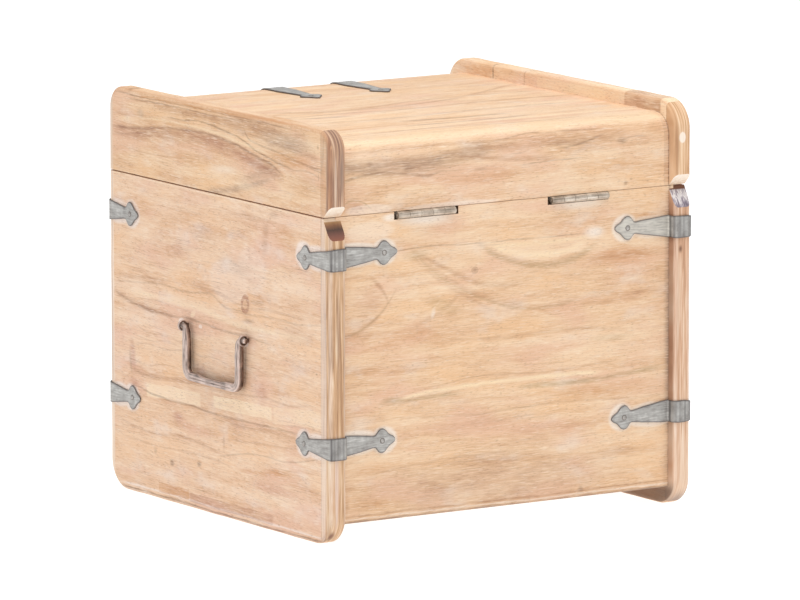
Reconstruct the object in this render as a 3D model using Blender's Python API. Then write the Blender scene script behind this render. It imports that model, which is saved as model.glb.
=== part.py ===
# Wooden storage chest with a hinged lid, iron corner straps and two bail handles.
# Metres, +Z up. The chest's front faces -Y, its hinges are at +Y, and it stands on z = 0.
# Right and left are as seen from the front: the right side panel is at +X.

import math

import bmesh
import bpy
from mathutils import Matrix, Vector

# Overall sizes
OVERALL_WIDTH = 0.400
OVERALL_DEPTH = 0.390
OVERALL_HEIGHT = 0.385

# Clearances
FIT_GAP = 0.0003          # between a piece and the seat it is fixed in
SEAM_GAP = 0.0008         # between the closed lid and the body
RUNNING_GAP = 0.0004      # round a pin or a pintle that turns

# Side panels: they stand proud of the front and back and of the lid's top, and are the feet
SIDE_THICKNESS = 0.018
SIDE_PROUD = 0.0105
SIDE_EASE = 0.004
FOOT_CORNER_RADIUS = 0.028
LID_CORNER_RADIUS_RIGHT = 0.020
LID_CORNER_RADIUS_LEFT = 0.028   # the left side was shaped rounder by hand
FLOOR_GAP = 0.018         # under the front, back and bottom
LIP_HEIGHT = 0.0135       # sides above the lid's top
SEAM_HEIGHT = 0.304
SEAM_EASE = 0.0004

# Rear corner cuts that let the lid swing past the body's side panels
BODY_CUT_BACK = 0.012
BODY_CUT_DOWN = 0.020
LID_CUT = 0.011
CUT_EASE = 0.0015

# Boards between the sides
WALL_THICKNESS = 0.016
BOTTOM_THICKNESS = 0.010
BOTTOM_RISE = 0.008       # bottom panel above the walls' lower edges
LID_TOP_THICKNESS = 0.016
RAIL_THICKNESS = 0.022
RAIL_EDGE_RADIUS = 0.020
TONGUE_THICKNESS = 0.006
HOUSING_DEPTH = 0.005     # of every groove and housing that a board sits in
BOARD_EASE = 0.0008

# Hinges
HINGE_LENGTH = 0.0635
HINGE_OFFSET = 0.085      # hinge centre from the pair's middle
HINGE_SHIFT = 0.004       # the pair's middle from the middle of the back
HINGE_SHEET = 0.0014
HINGE_LEAF_WIDTH = 0.0145
HINGE_BARREL_RADIUS = 0.0034
HINGE_PIN_RADIUS = 0.0013
HINGE_PIN_PROUD = 0.0005
HINGE_AXIS_OUT = 0.0005   # axis behind the face of the back
HINGE_KNUCKLES = 5
BARREL_CLEARANCE = 0.0006
MORTISE_END_GAP = 0.0045

# Iron straps
STRAP_SHEET = 0.0012
STRAP_HALF_WIDTH = 0.0103
STRAP_BEND_RADIUS = 0.0018
STRAP_BLANK_LENGTH = 0.1415
STRAP_LEAF_REAR = 0.0565  # leaf on the side panel's face, from a rear corner
STRAP_LEAF_FRONT = 0.0555  # the same, from a front corner
STRAP_HEIGHT_LOWER = 0.091
STRAP_HEIGHT_UPPER = 0.266
NECK_HALF_WIDTH = 0.0056
LOBE_SWELL = 0.0062
LOBE_CENTRE = 0.0155      # from the strap's tip
LOBE_REACH = 0.0085

LID_STRAP_REACH = 0.0995   # from the lid's front to the strap's tip on the top
LID_STRAP_SPACING = 0.078
LID_STRAP_SHIFT = -0.005  # the pair's middle from the lid's middle

# Bail handles
BAIL_HEIGHT = 0.174       # of the axis that the bail swings on
BAIL_STANDOFF = 0.0062    # axis from the side panel's face
BAIL_DROP = 0.0470        # axis to the middle of the grip
BAIL_BAR_HALF = 0.0033
BAIL_PINTLE_RADIUS = 0.0024
BAIL_LEG_HALF_SPAN = 0.047
BAIL_TOP_BEND = 0.0045
BAIL_CORNER_BEND = 0.0095
BAIL_SHIFT = 0.001        # the handle's middle behind the side panel's middle
BAIL_END_PROUD = 0.0030   # pintle past its eye
EYE_WIRE_RADIUS = 0.0014
EYE_GAP = 0.0008          # eye to the bail's leg bend
EYE_SHANK_RADIUS = 0.0019
CLINCH_HALF_LENGTH = 0.009
CLINCH_HALF_WIDTH = 0.0019
CLINCH_SHEET = 0.0012

# Facets
CORNER_STEPS = 8
EASE_STEPS = 3
BEND_STEPS = 3
FINIAL_STEPS = 12
ROUND_SIDES = 20
BAR_SIDES = 12

# Sizes that follow from the ones above
half_width = OVERALL_WIDTH / 2
half_depth = OVERALL_DEPTH / 2
inner_x = half_width - SIDE_THICKNESS
wall_y = half_depth - SIDE_PROUD
body_top = SEAM_HEIGHT - SEAM_GAP / 2
lid_bottom = SEAM_HEIGHT + SEAM_GAP / 2
lid_top = OVERALL_HEIGHT - LIP_HEIGHT
board_half_length = inner_x + HOUSING_DEPTH - FIT_GAP

hinge_y = wall_y + HINGE_AXIS_OUT
hinge_z = lid_bottom - FIT_GAP - HINGE_BARREL_RADIUS
HINGE_AXIS = Vector((0.0, hinge_y, hinge_z))

eye_ring_radius = BAIL_PINTLE_RADIUS + RUNNING_GAP + EYE_WIRE_RADIUS
eye_half_span = BAIL_LEG_HALF_SPAN + BAIL_TOP_BEND + EYE_GAP + EYE_WIRE_RADIUS
strap_offset = FIT_GAP + STRAP_SHEET / 2


def make_material(name, colour, roughness, metallic):
    material = bpy.data.materials.new(name)
    material.use_nodes = True
    shader = material.node_tree.nodes["Principled BSDF"]
    shader.inputs["Base Color"].default_value = (*colour, 1.0)
    shader.inputs["Roughness"].default_value = roughness
    shader.inputs["Metallic"].default_value = metallic
    material.diffuse_color = (*colour, 1.0)
    return material


def add_object(name, mesh_data, material, origin=(0.0, 0.0, 0.0), parent=None):
    """Turn a bmesh in world coordinates into a named object whose origin is at origin."""
    origin = Vector(origin)
    bmesh.ops.translate(mesh_data, verts=mesh_data.verts, vec=-origin)
    bmesh.ops.recalc_face_normals(mesh_data, faces=mesh_data.faces)
    mesh = bpy.data.meshes.new(name)
    mesh_data.to_mesh(mesh)
    mesh_data.free()
    mesh.shade_smooth()
    mesh.set_sharp_from_angle(angle=math.radians(35))
    mesh.materials.append(material)
    target = bpy.data.objects.new(name, mesh)
    bpy.context.scene.collection.objects.link(target)
    target.location = origin
    if parent is not None:
        target.parent = parent
        target.location = origin - parent.location
    return target


def add_empty(name, location):
    empty = bpy.data.objects.new(name, None)
    bpy.context.scene.collection.objects.link(empty)
    empty.location = location
    return empty


def boolean(target, cutter, operation):
    """Join a hidden tool shape to the target, or cut the target with it."""
    cutter.hide_render = True
    cutter.display_type = "WIRE"
    modifier = target.modifiers.new(cutter.name, "BOOLEAN")
    modifier.operation = operation
    modifier.solver = "EXACT"
    modifier.object = cutter


def cut(target, cutter):
    boolean(target, cutter, "DIFFERENCE")


def join(target, tool):
    boolean(target, tool, "UNION")


def ring_stack(rings):
    """Closed body through rings of as many points each, capped at both ends."""
    mesh_data = bmesh.new()
    loops = [[mesh_data.verts.new(point) for point in ring] for ring in rings]
    count = len(loops[0])
    for lower, upper in zip(loops, loops[1:]):
        for i in range(count):
            j = (i + 1) % count
            mesh_data.faces.new((lower[i], lower[j], upper[j], upper[i]))
    mesh_data.faces.new(loops[0])
    mesh_data.faces.new(loops[-1])
    return mesh_data


def box(low, high):
    low = Vector(low)
    high = Vector(high)
    mesh_data = bmesh.new()
    bmesh.ops.create_cube(mesh_data, size=1.0)
    bmesh.ops.scale(mesh_data, verts=mesh_data.verts, vec=high - low)
    bmesh.ops.translate(mesh_data, verts=mesh_data.verts, vec=(high + low) / 2)
    return mesh_data


def cylinder(start, end, radius, sides=ROUND_SIDES):
    start = Vector(start)
    end = Vector(end)
    turn = (end - start).to_track_quat("Z", "Y").to_matrix().to_4x4()
    mesh_data = bmesh.new()
    bmesh.ops.create_cone(
        mesh_data, cap_ends=True, segments=sides, radius1=radius, radius2=radius,
        depth=(end - start).length, matrix=Matrix.Translation((start + end) / 2) @ turn)
    return mesh_data


def outline(corners, steps=CORNER_STEPS):
    """Points of a closed outline, given as corners (u, v, radius, ease of the next edge).

    A corner with a radius becomes a tangent arc. Returns the points, and for each point
    the ease of the edge that leaves it.
    """
    points = []
    eases = []
    count = len(corners)
    for i, (u, v, radius, ease) in enumerate(corners):
        here = Vector((u, v))
        before = Vector(corners[i - 1][:2])
        after = Vector(corners[(i + 1) % count][:2])
        if radius == 0.0:
            points.append(here)
            eases.append(ease)
            continue
        back = (before - here).normalized()
        ahead = (after - here).normalized()
        half_angle = back.angle(ahead) / 2
        centre = here + (back + ahead).normalized() * radius / math.sin(half_angle)
        first = here + back * radius / math.tan(half_angle) - centre
        last = here + ahead * radius / math.tan(half_angle) - centre
        swing = first.angle(last)
        for step in range(steps + 1):
            share = step / steps
            arm = (first * math.sin((1 - share) * swing) + last * math.sin(share * swing))
            points.append(centre + arm / math.sin(swing))
            eases.append(ease)
    return points, eases


def inset(points, margins):
    """Move each edge of an anticlockwise outline inwards by its own margin."""
    count = len(points)
    normals = []
    for i in range(count):
        along = (points[(i + 1) % count] - points[i]).normalized()
        normals.append(Vector((-along.y, along.x)))
    moved = []
    for i in range(count):
        first, second = normals[i - 1], normals[i]
        near, far = margins[i - 1], margins[i]
        cross = first.x * second.y - first.y * second.x
        if abs(cross) < 1e-6:
            moved.append(points[i] + second * far)
            continue
        shift_u = (near * second.y - far * first.y) / cross
        shift_v = (far * first.x - near * second.x) / cross
        moved.append(points[i] + Vector((shift_u, shift_v)))
    return moved


def eased_panel(corners, x_outer, x_inner):
    """Panel in the YZ plane between two x values, its edges rounded over on both faces."""
    points, eases = outline(corners)
    inward = math.copysign(1.0, x_inner - x_outer)
    levels = []
    for step in range(EASE_STEPS + 1):
        angle = math.pi / 2 * step / EASE_STEPS
        levels.append((1 - math.sin(angle), SIDE_EASE * (1 - math.cos(angle))))
    rings = []
    for share, depth in levels:
        rings.append((share, x_outer + inward * depth))
    for share, depth in reversed(levels):
        rings.append((share, x_inner - inward * depth))
    loops = []
    for share, x in rings:
        loop = inset(points, [ease * share for ease in eases])
        loops.append([(x, point.x, point.y) for point in loop])
    return ring_stack(loops)


def extruded_along_x(corners, half_length, steps=CORNER_STEPS):
    points, _ = outline(corners, steps)
    return ring_stack([[(x, point.x, point.y) for point in points]
                       for x in (-half_length, half_length)])


def mirrored(corners):
    """The same outline with front and back swapped, still anticlockwise."""
    return [(-u, v, radius, 0.0) for u, v, radius, _ in reversed(corners)]


def body_side_corners():
    return [
        (-half_depth, 0.0, FOOT_CORNER_RADIUS, SIDE_EASE),
        (half_depth, 0.0, FOOT_CORNER_RADIUS, SIDE_EASE),
        (half_depth, body_top - BODY_CUT_DOWN, 0.0, CUT_EASE),
        (half_depth - BODY_CUT_BACK, body_top, 0.0, SEAM_EASE),
        (-half_depth, body_top, 0.0, SIDE_EASE),
    ]


def lid_side_corners(radius):
    return [
        (-half_depth, lid_bottom, 0.0, SEAM_EASE),
        (half_depth - LID_CUT, lid_bottom, 0.0, CUT_EASE),
        (half_depth, lid_bottom + LID_CUT, 0.0, SIDE_EASE),
        (half_depth, OVERALL_HEIGHT, radius, SIDE_EASE),
        (-half_depth, OVERALL_HEIGHT, radius, SIDE_EASE),
    ]


def wall_corners():
    """Back wall's section, with the groove for the bottom panel in its inner face."""
    inner = wall_y - WALL_THICKNESS
    low = FLOOR_GAP + BOTTOM_RISE - FIT_GAP
    high = FLOOR_GAP + BOTTOM_RISE + BOTTOM_THICKNESS + FIT_GAP
    return [
        (inner, FLOOR_GAP, BOARD_EASE, 0.0),
        (wall_y, FLOOR_GAP, BOARD_EASE, 0.0),
        (wall_y, body_top, BOARD_EASE, 0.0),
        (inner, body_top, BOARD_EASE, 0.0),
        (inner, high, 0.0, 0.0),
        (inner + HOUSING_DEPTH, high, 0.0, 0.0),
        (inner + HOUSING_DEPTH, low, 0.0, 0.0),
        (inner, low, 0.0, 0.0),
    ]


def rail_corners(grooved=True, margin=0.0):
    """Back lid rail's section. Its top outer edge is rounded over, and a margin grows it."""
    inner = wall_y - RAIL_THICKNESS - margin
    outer = wall_y + margin
    bottom = lid_bottom - margin
    top = lid_top + margin
    corners = [
        (inner, bottom, BOARD_EASE, 0.0),
        (outer, bottom, BOARD_EASE, 0.0),
        (outer, top, RAIL_EDGE_RADIUS + margin, 0.0),
        (inner, top, 0.0, 0.0),
    ]
    if grooved:
        middle = lid_top - LID_TOP_THICKNESS / 2
        reach = TONGUE_THICKNESS / 2 + FIT_GAP
        corners += [
            (inner, middle + reach, 0.0, 0.0),
            (inner + HOUSING_DEPTH, middle + reach, 0.0, 0.0),
            (inner + HOUSING_DEPTH, middle - reach, 0.0, 0.0),
            (inner, middle - reach, 0.0, 0.0),
        ]
    return corners


def lid_top_corners():
    edge = wall_y - RAIL_THICKNESS - FIT_GAP
    tip = edge + HOUSING_DEPTH
    middle = lid_top - LID_TOP_THICKNESS / 2
    low = middle - TONGUE_THICKNESS / 2
    high = middle + TONGUE_THICKNESS / 2
    bottom = lid_top - LID_TOP_THICKNESS
    return [
        (-edge, bottom, 0.0, 0.0),
        (edge, bottom, 0.0, 0.0),
        (edge, low, 0.0, 0.0),
        (tip, low, 0.0, 0.0),
        (tip, high, 0.0, 0.0),
        (edge, high, 0.0, 0.0),
        (edge, lid_top, 0.0, 0.0),
        (-edge, lid_top, 0.0, 0.0),
        (-edge, high, 0.0, 0.0),
        (-tip, high, 0.0, 0.0),
        (-tip, low, 0.0, 0.0),
        (-edge, low, 0.0, 0.0),
    ]


def add_cutter(name, mesh_data, parent=None):
    return add_object(name, mesh_data, tool_material, parent=parent)


def add_body_side(name, side):
    """One of the two side panels of the body, side is +1 on the right and -1 on the left."""
    panel = add_object(
        name, eased_panel(body_side_corners(), side * half_width, side * inner_x), wood)
    deep = inner_x + HOUSING_DEPTH
    shallow = inner_x - HOUSING_DEPTH
    for end, facing in (("front", -1), ("back", 1)):
        near = facing * (wall_y + FIT_GAP)
        far = facing * (wall_y - WALL_THICKNESS - FIT_GAP)
        housing = box(
            (min(side * deep, side * shallow), min(near, far), FLOOR_GAP - FIT_GAP),
            (max(side * deep, side * shallow), max(near, far), body_top + HOUSING_DEPTH))
        cut(panel, add_cutter(f"{name}_{end}_housing", housing))
    reach = wall_y - WALL_THICKNESS
    groove = box(
        (min(side * deep, side * shallow), -reach, FLOOR_GAP + BOTTOM_RISE - FIT_GAP),
        (max(side * deep, side * shallow), reach,
         FLOOR_GAP + BOTTOM_RISE + BOTTOM_THICKNESS + FIT_GAP))
    cut(panel, add_cutter(f"{name}_bottom_groove", groove))
    for end, facing in (("front", -1), ("rear", 1)):
        y = BAIL_SHIFT + facing * eye_half_span
        hole = cylinder(
            (side * (inner_x - HOUSING_DEPTH), y, BAIL_HEIGHT),
            (side * (half_width + HOUSING_DEPTH), y, BAIL_HEIGHT),
            EYE_SHANK_RADIUS + FIT_GAP, BAR_SIDES)
        cut(panel, add_cutter(f"{name}_{end}_eye_hole", hole))


def add_lid_side(name, side, radius):
    panel = add_object(
        name, eased_panel(lid_side_corners(radius), side * half_width, side * inner_x), wood,
        HINGE_AXIS, lid_pivot)
    deep = side * (inner_x + HOUSING_DEPTH)
    shallow = side * (inner_x - HOUSING_DEPTH)
    back = rail_corners(grooved=False, margin=FIT_GAP)
    for end, corners in (("back", back), ("front", mirrored(back))):
        points, _ = outline(corners)
        housing = ring_stack([[(x, point.x, point.y) for point in points]
                              for x in (deep, shallow)])
        cut(panel, add_cutter(f"{name}_{end}_housing", housing))
    reach = wall_y - RAIL_THICKNESS
    housing = box(
        (min(deep, shallow), -reach, lid_top - LID_TOP_THICKNESS - FIT_GAP),
        (max(deep, shallow), reach, lid_top + FIT_GAP))
    cut(panel, add_cutter(f"{name}_top_housing", housing))


def add_boards():
    add_body_side("side_panel_right", 1)
    add_body_side("side_panel_left", -1)
    add_object("front_panel", extruded_along_x(mirrored(wall_corners()), board_half_length, 1),
               wood)
    back = add_object("back_panel", extruded_along_x(wall_corners(), board_half_length, 1),
                      wood)
    for side_name, side in (("right", 1), ("left", -1)):
        middle = HINGE_SHIFT + side * HINGE_OFFSET
        half = HINGE_LENGTH / 2 + MORTISE_END_GAP
        above = body_top + HOUSING_DEPTH
        behind = wall_y + HOUSING_DEPTH
        leaf_seat = box(
            (middle - half, hinge_y - HINGE_LEAF_WIDTH - FIT_GAP,
             lid_bottom - 3 * FIT_GAP - 2 * HINGE_SHEET),
            (middle + half, behind, above))
        cut(back, add_cutter(f"back_panel_{side_name}_leaf_seat", leaf_seat))
        clear = HINGE_BARREL_RADIUS + BARREL_CLEARANCE
        barrel_seat = box(
            (middle - half, hinge_y - clear, hinge_z - clear), (middle + half, behind, above))
        cut(back, add_cutter(f"back_panel_{side_name}_barrel_seat", barrel_seat))
    bottom_reach = wall_y - WALL_THICKNESS + HOUSING_DEPTH - FIT_GAP
    low = FLOOR_GAP + BOTTOM_RISE
    add_object(
        "bottom_panel",
        box((-board_half_length, -bottom_reach, low),
            (board_half_length, bottom_reach, low + BOTTOM_THICKNESS)), wood)


def add_lid_boards():
    add_lid_side("lid_side_right", 1, LID_CORNER_RADIUS_RIGHT)
    add_lid_side("lid_side_left", -1, LID_CORNER_RADIUS_LEFT)
    add_object("lid_back_rail", extruded_along_x(rail_corners(), board_half_length), wood,
               HINGE_AXIS, lid_pivot)
    add_object("lid_front_rail", extruded_along_x(mirrored(rail_corners()), board_half_length),
               wood, HINGE_AXIS, lid_pivot)
    add_object("lid_top_panel", extruded_along_x(lid_top_corners(), board_half_length), wood,
               HINGE_AXIS, lid_pivot)


def strap_half_width(distance):
    """Half width of a strap at a distance from its tip.

    A round nose as wide as the neck, then a straight taper up to the full half width, and
    two lobes that swell and fall as a squared cosine round the lobe centre.
    """
    nose = min(distance, NECK_HALF_WIDTH)
    body = math.sqrt(NECK_HALF_WIDTH ** 2 - (NECK_HALF_WIDTH - nose) ** 2)
    neck_at = LOBE_CENTRE + LOBE_REACH
    if distance > neck_at:
        taper = min(1.0, (distance - neck_at) / neck_at)
        return body + (STRAP_HALF_WIDTH - NECK_HALF_WIDTH) * taper
    offset = (distance - LOBE_CENTRE) / LOBE_REACH
    if abs(offset) < 1.0:
        body += LOBE_SWELL * math.cos(offset * math.pi / 2) ** 2
    return body


def finial_stations():
    """Distances from the tip that carry the finial's curves, closer together at the nose."""
    end = LOBE_CENTRE + LOBE_REACH
    shares = [(step / FINIAL_STEPS) ** 1.35 for step in range(FINIAL_STEPS + 1)]
    return [max(0.0003, share * end) for share in shares]


def strap_path(start, turns):
    """Middle line of a bent strip from a start (u, v, heading), as stations along it.

    Each turn is (straight length before it, angle, radius, steps), and one without an angle
    ends the strip. A station is (distance travelled, point, heading).
    """
    point = Vector(start[:2])
    heading = start[2]
    stations = []
    travelled = 0.0
    for length, angle, radius, steps in turns:
        forward = Vector((math.cos(heading), math.sin(heading)))
        stations.append((travelled, point.copy(), heading))
        point = point + forward * length
        travelled += length
        if angle == 0.0:
            stations.append((travelled, point.copy(), heading))
            continue
        sign = math.copysign(1.0, angle)
        centre = point + Vector((-forward.y, forward.x)) * sign * radius
        arm = point - centre
        for step in range(steps):
            turn = angle * step / steps
            spoke = Matrix.Rotation(turn, 2) @ arm
            stations.append((travelled + abs(turn) * radius, centre + spoke, heading + turn))
        point = centre + Matrix.Rotation(angle, 2) @ arm
        heading += angle
        travelled += abs(angle) * radius
    return stations, travelled


def along_strap(stations, distance):
    """Point and heading at a distance, on the straight line between two stations."""
    index = max(i for i, station in enumerate(stations[:-1]) if station[0] <= distance + 1e-9)
    start, first, first_heading = stations[index]
    end, last, last_heading = stations[index + 1]
    share = (distance - start) / (end - start)
    return first.lerp(last, share), first_heading + (last_heading - first_heading) * share


def add_strap(name, start, turns, to_world, origin=(0.0, 0.0, 0.0), parent=None):
    """Strip of sheet iron bent along a path, with a lobed finial at each end."""
    bends, total = strap_path(start, turns)
    distances = set(finial_stations())
    distances |= {total - distance for distance in finial_stations()}
    full_at = 2 * (LOBE_CENTRE + LOBE_REACH)
    distances |= {full_at, total - full_at}
    distances |= {travelled for travelled, _, _ in bends if 0 < travelled < total}
    ordered = []
    for distance in sorted(distances):
        if not ordered or distance - ordered[-1] > 0.0001:
            ordered.append(distance)
    rings = []
    for distance in ordered:
        point, heading = along_strap(bends, distance)
        normal = Vector((-math.sin(heading), math.cos(heading))) * STRAP_SHEET / 2
        half = strap_half_width(min(distance, total - distance))
        rings.append([
            to_world(point + normal, half), to_world(point - normal, half),
            to_world(point - normal, -half), to_world(point + normal, -half)])
    add_object(name, ring_stack(rings), zinc, origin, parent)


def add_corner_straps():
    """Eight equal straps, each round the proud edge of a side panel and onto the wall."""
    outer_bend = SIDE_EASE + strap_offset
    inner_bend = STRAP_BEND_RADIUS
    quarter = math.pi / 2
    for level, height in (("lower", STRAP_HEIGHT_LOWER), ("upper", STRAP_HEIGHT_UPPER)):
        for side_name, side in (("right", 1), ("left", -1)):
            for end, facing, leaf in (
                    ("front", -1, STRAP_LEAF_FRONT), ("rear", 1, STRAP_LEAF_REAR)):
                flat = leaf - SIDE_EASE
                across = SIDE_THICKNESS - 2 * SIDE_EASE
                down = SIDE_PROUD - SIDE_EASE - strap_offset - inner_bend
                bends = 2 * outer_bend * quarter + inner_bend * quarter
                tail = STRAP_BLANK_LENGTH - flat - across - down - bends
                turns = [(flat, quarter, outer_bend, EASE_STEPS),
                         (across, quarter, outer_bend, EASE_STEPS),
                         (down, -quarter, inner_bend, BEND_STEPS),
                         (tail, 0.0, 0.0, 0)]
                start = (half_width + strap_offset, half_depth - leaf, quarter)

                def to_world(point, half, side=side, facing=facing, height=height):
                    return (side * point.x, facing * point.y, height + half)

                add_strap(f"corner_strap_{end}_{side_name}_{level}", start, turns, to_world)


def add_lid_straps():
    """Two straps on the lid's top, bent down over its rounded front edge."""
    quarter = math.pi / 2
    bend = RAIL_EDGE_RADIUS + strap_offset
    flat = LID_STRAP_REACH - RAIL_EDGE_RADIUS
    turns = [(flat, quarter, bend, CORNER_STEPS),
             (STRAP_BLANK_LENGTH - flat - bend * quarter, 0.0, 0.0, 0)]
    start = (-wall_y + LID_STRAP_REACH, lid_top + strap_offset, math.pi)
    for side_name, side in (("right", 1), ("left", -1)):
        middle = LID_STRAP_SHIFT + side * LID_STRAP_SPACING / 2

        def to_world(point, half, middle=middle):
            return (middle + half, point.x, point.y)

        add_strap(f"lid_strap_{side_name}", start, turns, to_world, HINGE_AXIS, lid_pivot)


def add_hinge_leaf(name, middle, knuckles, top, parent):
    """A hinge leaf: a plate, a tab to each of its knuckles, and one bore through them."""
    pitch = HINGE_LENGTH / HINGE_KNUCKLES
    left = middle - HINGE_LENGTH / 2
    root = hinge_y - HINGE_BARREL_RADIUS - FIT_GAP
    bottom = top - HINGE_SHEET
    leaf = add_object(
        name,
        box((left, hinge_y - HINGE_LEAF_WIDTH, bottom), (left + HINGE_LENGTH, root, top)),
        steel, HINGE_AXIS, parent)
    for knuckle in knuckles:
        start = left + knuckle * pitch + (FIT_GAP / 2 if knuckle else 0.0)
        last = knuckle == HINGE_KNUCKLES - 1
        end = left + (knuckle + 1) * pitch - (0.0 if last else FIT_GAP / 2)
        tab = box((start, root - HINGE_SHEET, bottom), (end, hinge_y, top))
        join(leaf, add_cutter(f"{name}_tab_{knuckle}", tab))
        barrel = cylinder((start, hinge_y, hinge_z), (end, hinge_y, hinge_z),
                          HINGE_BARREL_RADIUS)
        join(leaf, add_cutter(f"{name}_barrel_{knuckle}", barrel))
    bore = cylinder((left - HINGE_SHEET, hinge_y, hinge_z),
                    (left + HINGE_LENGTH + HINGE_SHEET, hinge_y, hinge_z),
                    HINGE_PIN_RADIUS + FIT_GAP, BAR_SIDES)
    cut(leaf, add_cutter(f"{name}_bore", bore))


def add_hinges():
    lid_leaf_top = lid_bottom - FIT_GAP
    body_leaf_top = lid_leaf_top - HINGE_SHEET - FIT_GAP
    for side_name, side in (("right", 1), ("left", -1)):
        middle = HINGE_SHIFT + side * HINGE_OFFSET
        add_hinge_leaf(f"hinge_body_leaf_{side_name}", middle, range(0, HINGE_KNUCKLES, 2),
                       body_leaf_top, None)
        add_hinge_leaf(f"hinge_lid_leaf_{side_name}", middle, range(1, HINGE_KNUCKLES, 2),
                       lid_leaf_top, lid_pivot)
        half = HINGE_LENGTH / 2 + HINGE_PIN_PROUD
        pin = cylinder((middle - half, hinge_y, hinge_z), (middle + half, hinge_y, hinge_z),
                       HINGE_PIN_RADIUS, BAR_SIDES)
        add_object(f"hinge_pin_{side_name}", pin, steel, HINGE_AXIS)


def bail_stations():
    """Middle line of half a bail from its pintle's end to the middle of the grip.

    Each station is (y, z, heading, squareness), with the heading in the YZ plane and the
    squareness 0 on the round pintle and 1 on the square bar.
    """
    pintle = eye_half_span + EYE_WIRE_RADIUS + BAIL_END_PROUD
    bend_y = BAIL_LEG_HALF_SPAN + BAIL_TOP_BEND
    stations = [(-pintle, 0.0, 0.0, 0.0), (-bend_y, 0.0, 0.0, 0.0)]
    for step in range(1, BEND_STEPS + 2):
        share = step / (BEND_STEPS + 1)
        turn = share * math.pi / 2
        stations.append((-bend_y + BAIL_TOP_BEND * math.sin(turn),
                         -BAIL_TOP_BEND * (1 - math.cos(turn)), -turn, share))
    corner_z = -(BAIL_DROP - BAIL_CORNER_BEND)
    for step in range(BEND_STEPS + 3):
        turn = step / (BEND_STEPS + 2) * math.pi / 2
        stations.append((-BAIL_LEG_HALF_SPAN + BAIL_CORNER_BEND * (1 - math.cos(turn)),
                         corner_z - BAIL_CORNER_BEND * math.sin(turn),
                         -math.pi / 2 + turn, 1.0))
    return stations


def bar_section(squareness):
    """Section of the bar: a circle that grows into a square with rounded corners."""
    power = 2.0 + 4.0 * squareness
    size = BAIL_PINTLE_RADIUS + (BAIL_BAR_HALF - BAIL_PINTLE_RADIUS) * squareness
    section = []
    for side in range(BAR_SIDES):
        angle = 2 * math.pi * (side + 0.5) / BAR_SIDES
        cosine = math.cos(angle)
        sine = math.sin(angle)
        radius = size / (abs(cosine) ** power + abs(sine) ** power) ** (1 / power)
        section.append((radius * cosine, radius * sine))
    return section


def add_bail(name, side):
    half = bail_stations()
    whole = half + [(-y, z, -heading, square) for y, z, heading, square in reversed(half)]
    axis_x = side * (half_width + BAIL_STANDOFF)
    rings = []
    for y, z, heading, squareness in whole:
        across = Vector((0.0, -math.sin(heading), math.cos(heading)))
        centre = Vector((axis_x, BAIL_SHIFT + y, BAIL_HEIGHT + z))
        rings.append([centre + Vector((u, 0.0, 0.0)) + across * v
                      for u, v in bar_section(squareness)])
    add_object(name, ring_stack(rings), iron, (axis_x, BAIL_SHIFT, BAIL_HEIGHT))


def eye_ring(centre):
    """Torus round the Y axis through its centre."""
    mesh_data = bmesh.new()
    profile = []
    for step in range(8):
        angle = 2 * math.pi * (step + 0.5) / 8
        profile.append(mesh_data.verts.new((
            eye_ring_radius + EYE_WIRE_RADIUS * math.cos(angle),
            EYE_WIRE_RADIUS * math.sin(angle), 0.0)))
    edges = [mesh_data.edges.new((profile[i - 1], profile[i])) for i in range(8)]
    bmesh.ops.spin(mesh_data, geom=profile + edges, cent=(0, 0, 0), axis=(0, 1, 0),
                   angle=2 * math.pi, steps=ROUND_SIDES, use_merge=True)
    bmesh.ops.translate(mesh_data, verts=mesh_data.verts, vec=centre)
    return mesh_data


def add_eye(name, side, facing):
    """Split-pin eye: a ring that holds the pintle, a shank, and legs clinched inside."""
    y = BAIL_SHIFT + facing * eye_half_span
    centre = Vector((side * (half_width + BAIL_STANDOFF), y, BAIL_HEIGHT))
    eye = add_object(name, eye_ring(centre), iron)
    outer = side * (half_width + BAIL_STANDOFF - eye_ring_radius)
    inner = side * (inner_x - FIT_GAP - CLINCH_SHEET / 2)
    shank = cylinder((outer, y, BAIL_HEIGHT), (inner, y, BAIL_HEIGHT), EYE_SHANK_RADIUS,
                     BAR_SIDES)
    join(eye, add_cutter(f"{name}_shank", shank))
    near = side * (inner_x - FIT_GAP)
    far = side * (inner_x - FIT_GAP - CLINCH_SHEET)
    clinch = box(
        (min(near, far), y - CLINCH_HALF_WIDTH, BAIL_HEIGHT - CLINCH_HALF_LENGTH),
        (max(near, far), y + CLINCH_HALF_WIDTH, BAIL_HEIGHT + CLINCH_HALF_LENGTH))
    join(eye, add_cutter(f"{name}_clinch", clinch))


def add_handles():
    for side_name, side in (("right", 1), ("left", -1)):
        add_bail(f"bail_{side_name}", side)
        for end, facing in (("front", -1), ("rear", 1)):
            add_eye(f"handle_eye_{side_name}_{end}", side, facing)


for old in list(bpy.data.objects):
    bpy.data.objects.remove(old)

wood = make_material("bleached acacia", (0.76, 0.56, 0.40), 0.62, 0.0)
zinc = make_material("galvanised iron strap", (0.38, 0.39, 0.40), 0.5, 0.8)
steel = make_material("dull plated steel", (0.42, 0.39, 0.35), 0.42, 0.9)
iron = make_material("dark forged iron", (0.14, 0.11, 0.09), 0.48, 0.85)
tool_material = make_material("cutting shape", (0.8, 0.2, 0.2), 0.5, 0.0)

lid_pivot = add_empty("lid_pivot", HINGE_AXIS)
add_boards()
add_lid_boards()
add_corner_straps()
add_lid_straps()
add_hinges()
add_handles()
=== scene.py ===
# Wooden storage chest in bleached acacia, with zinc-coated straps, butt hinges and forged handles.
# Metres, +Z up. The hinged back faces +Y, the right side panel is at +X, and the floor is at z = 0.

import math

import bmesh
import bpy
import numpy as np
from mathutils import Matrix, Vector


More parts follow.
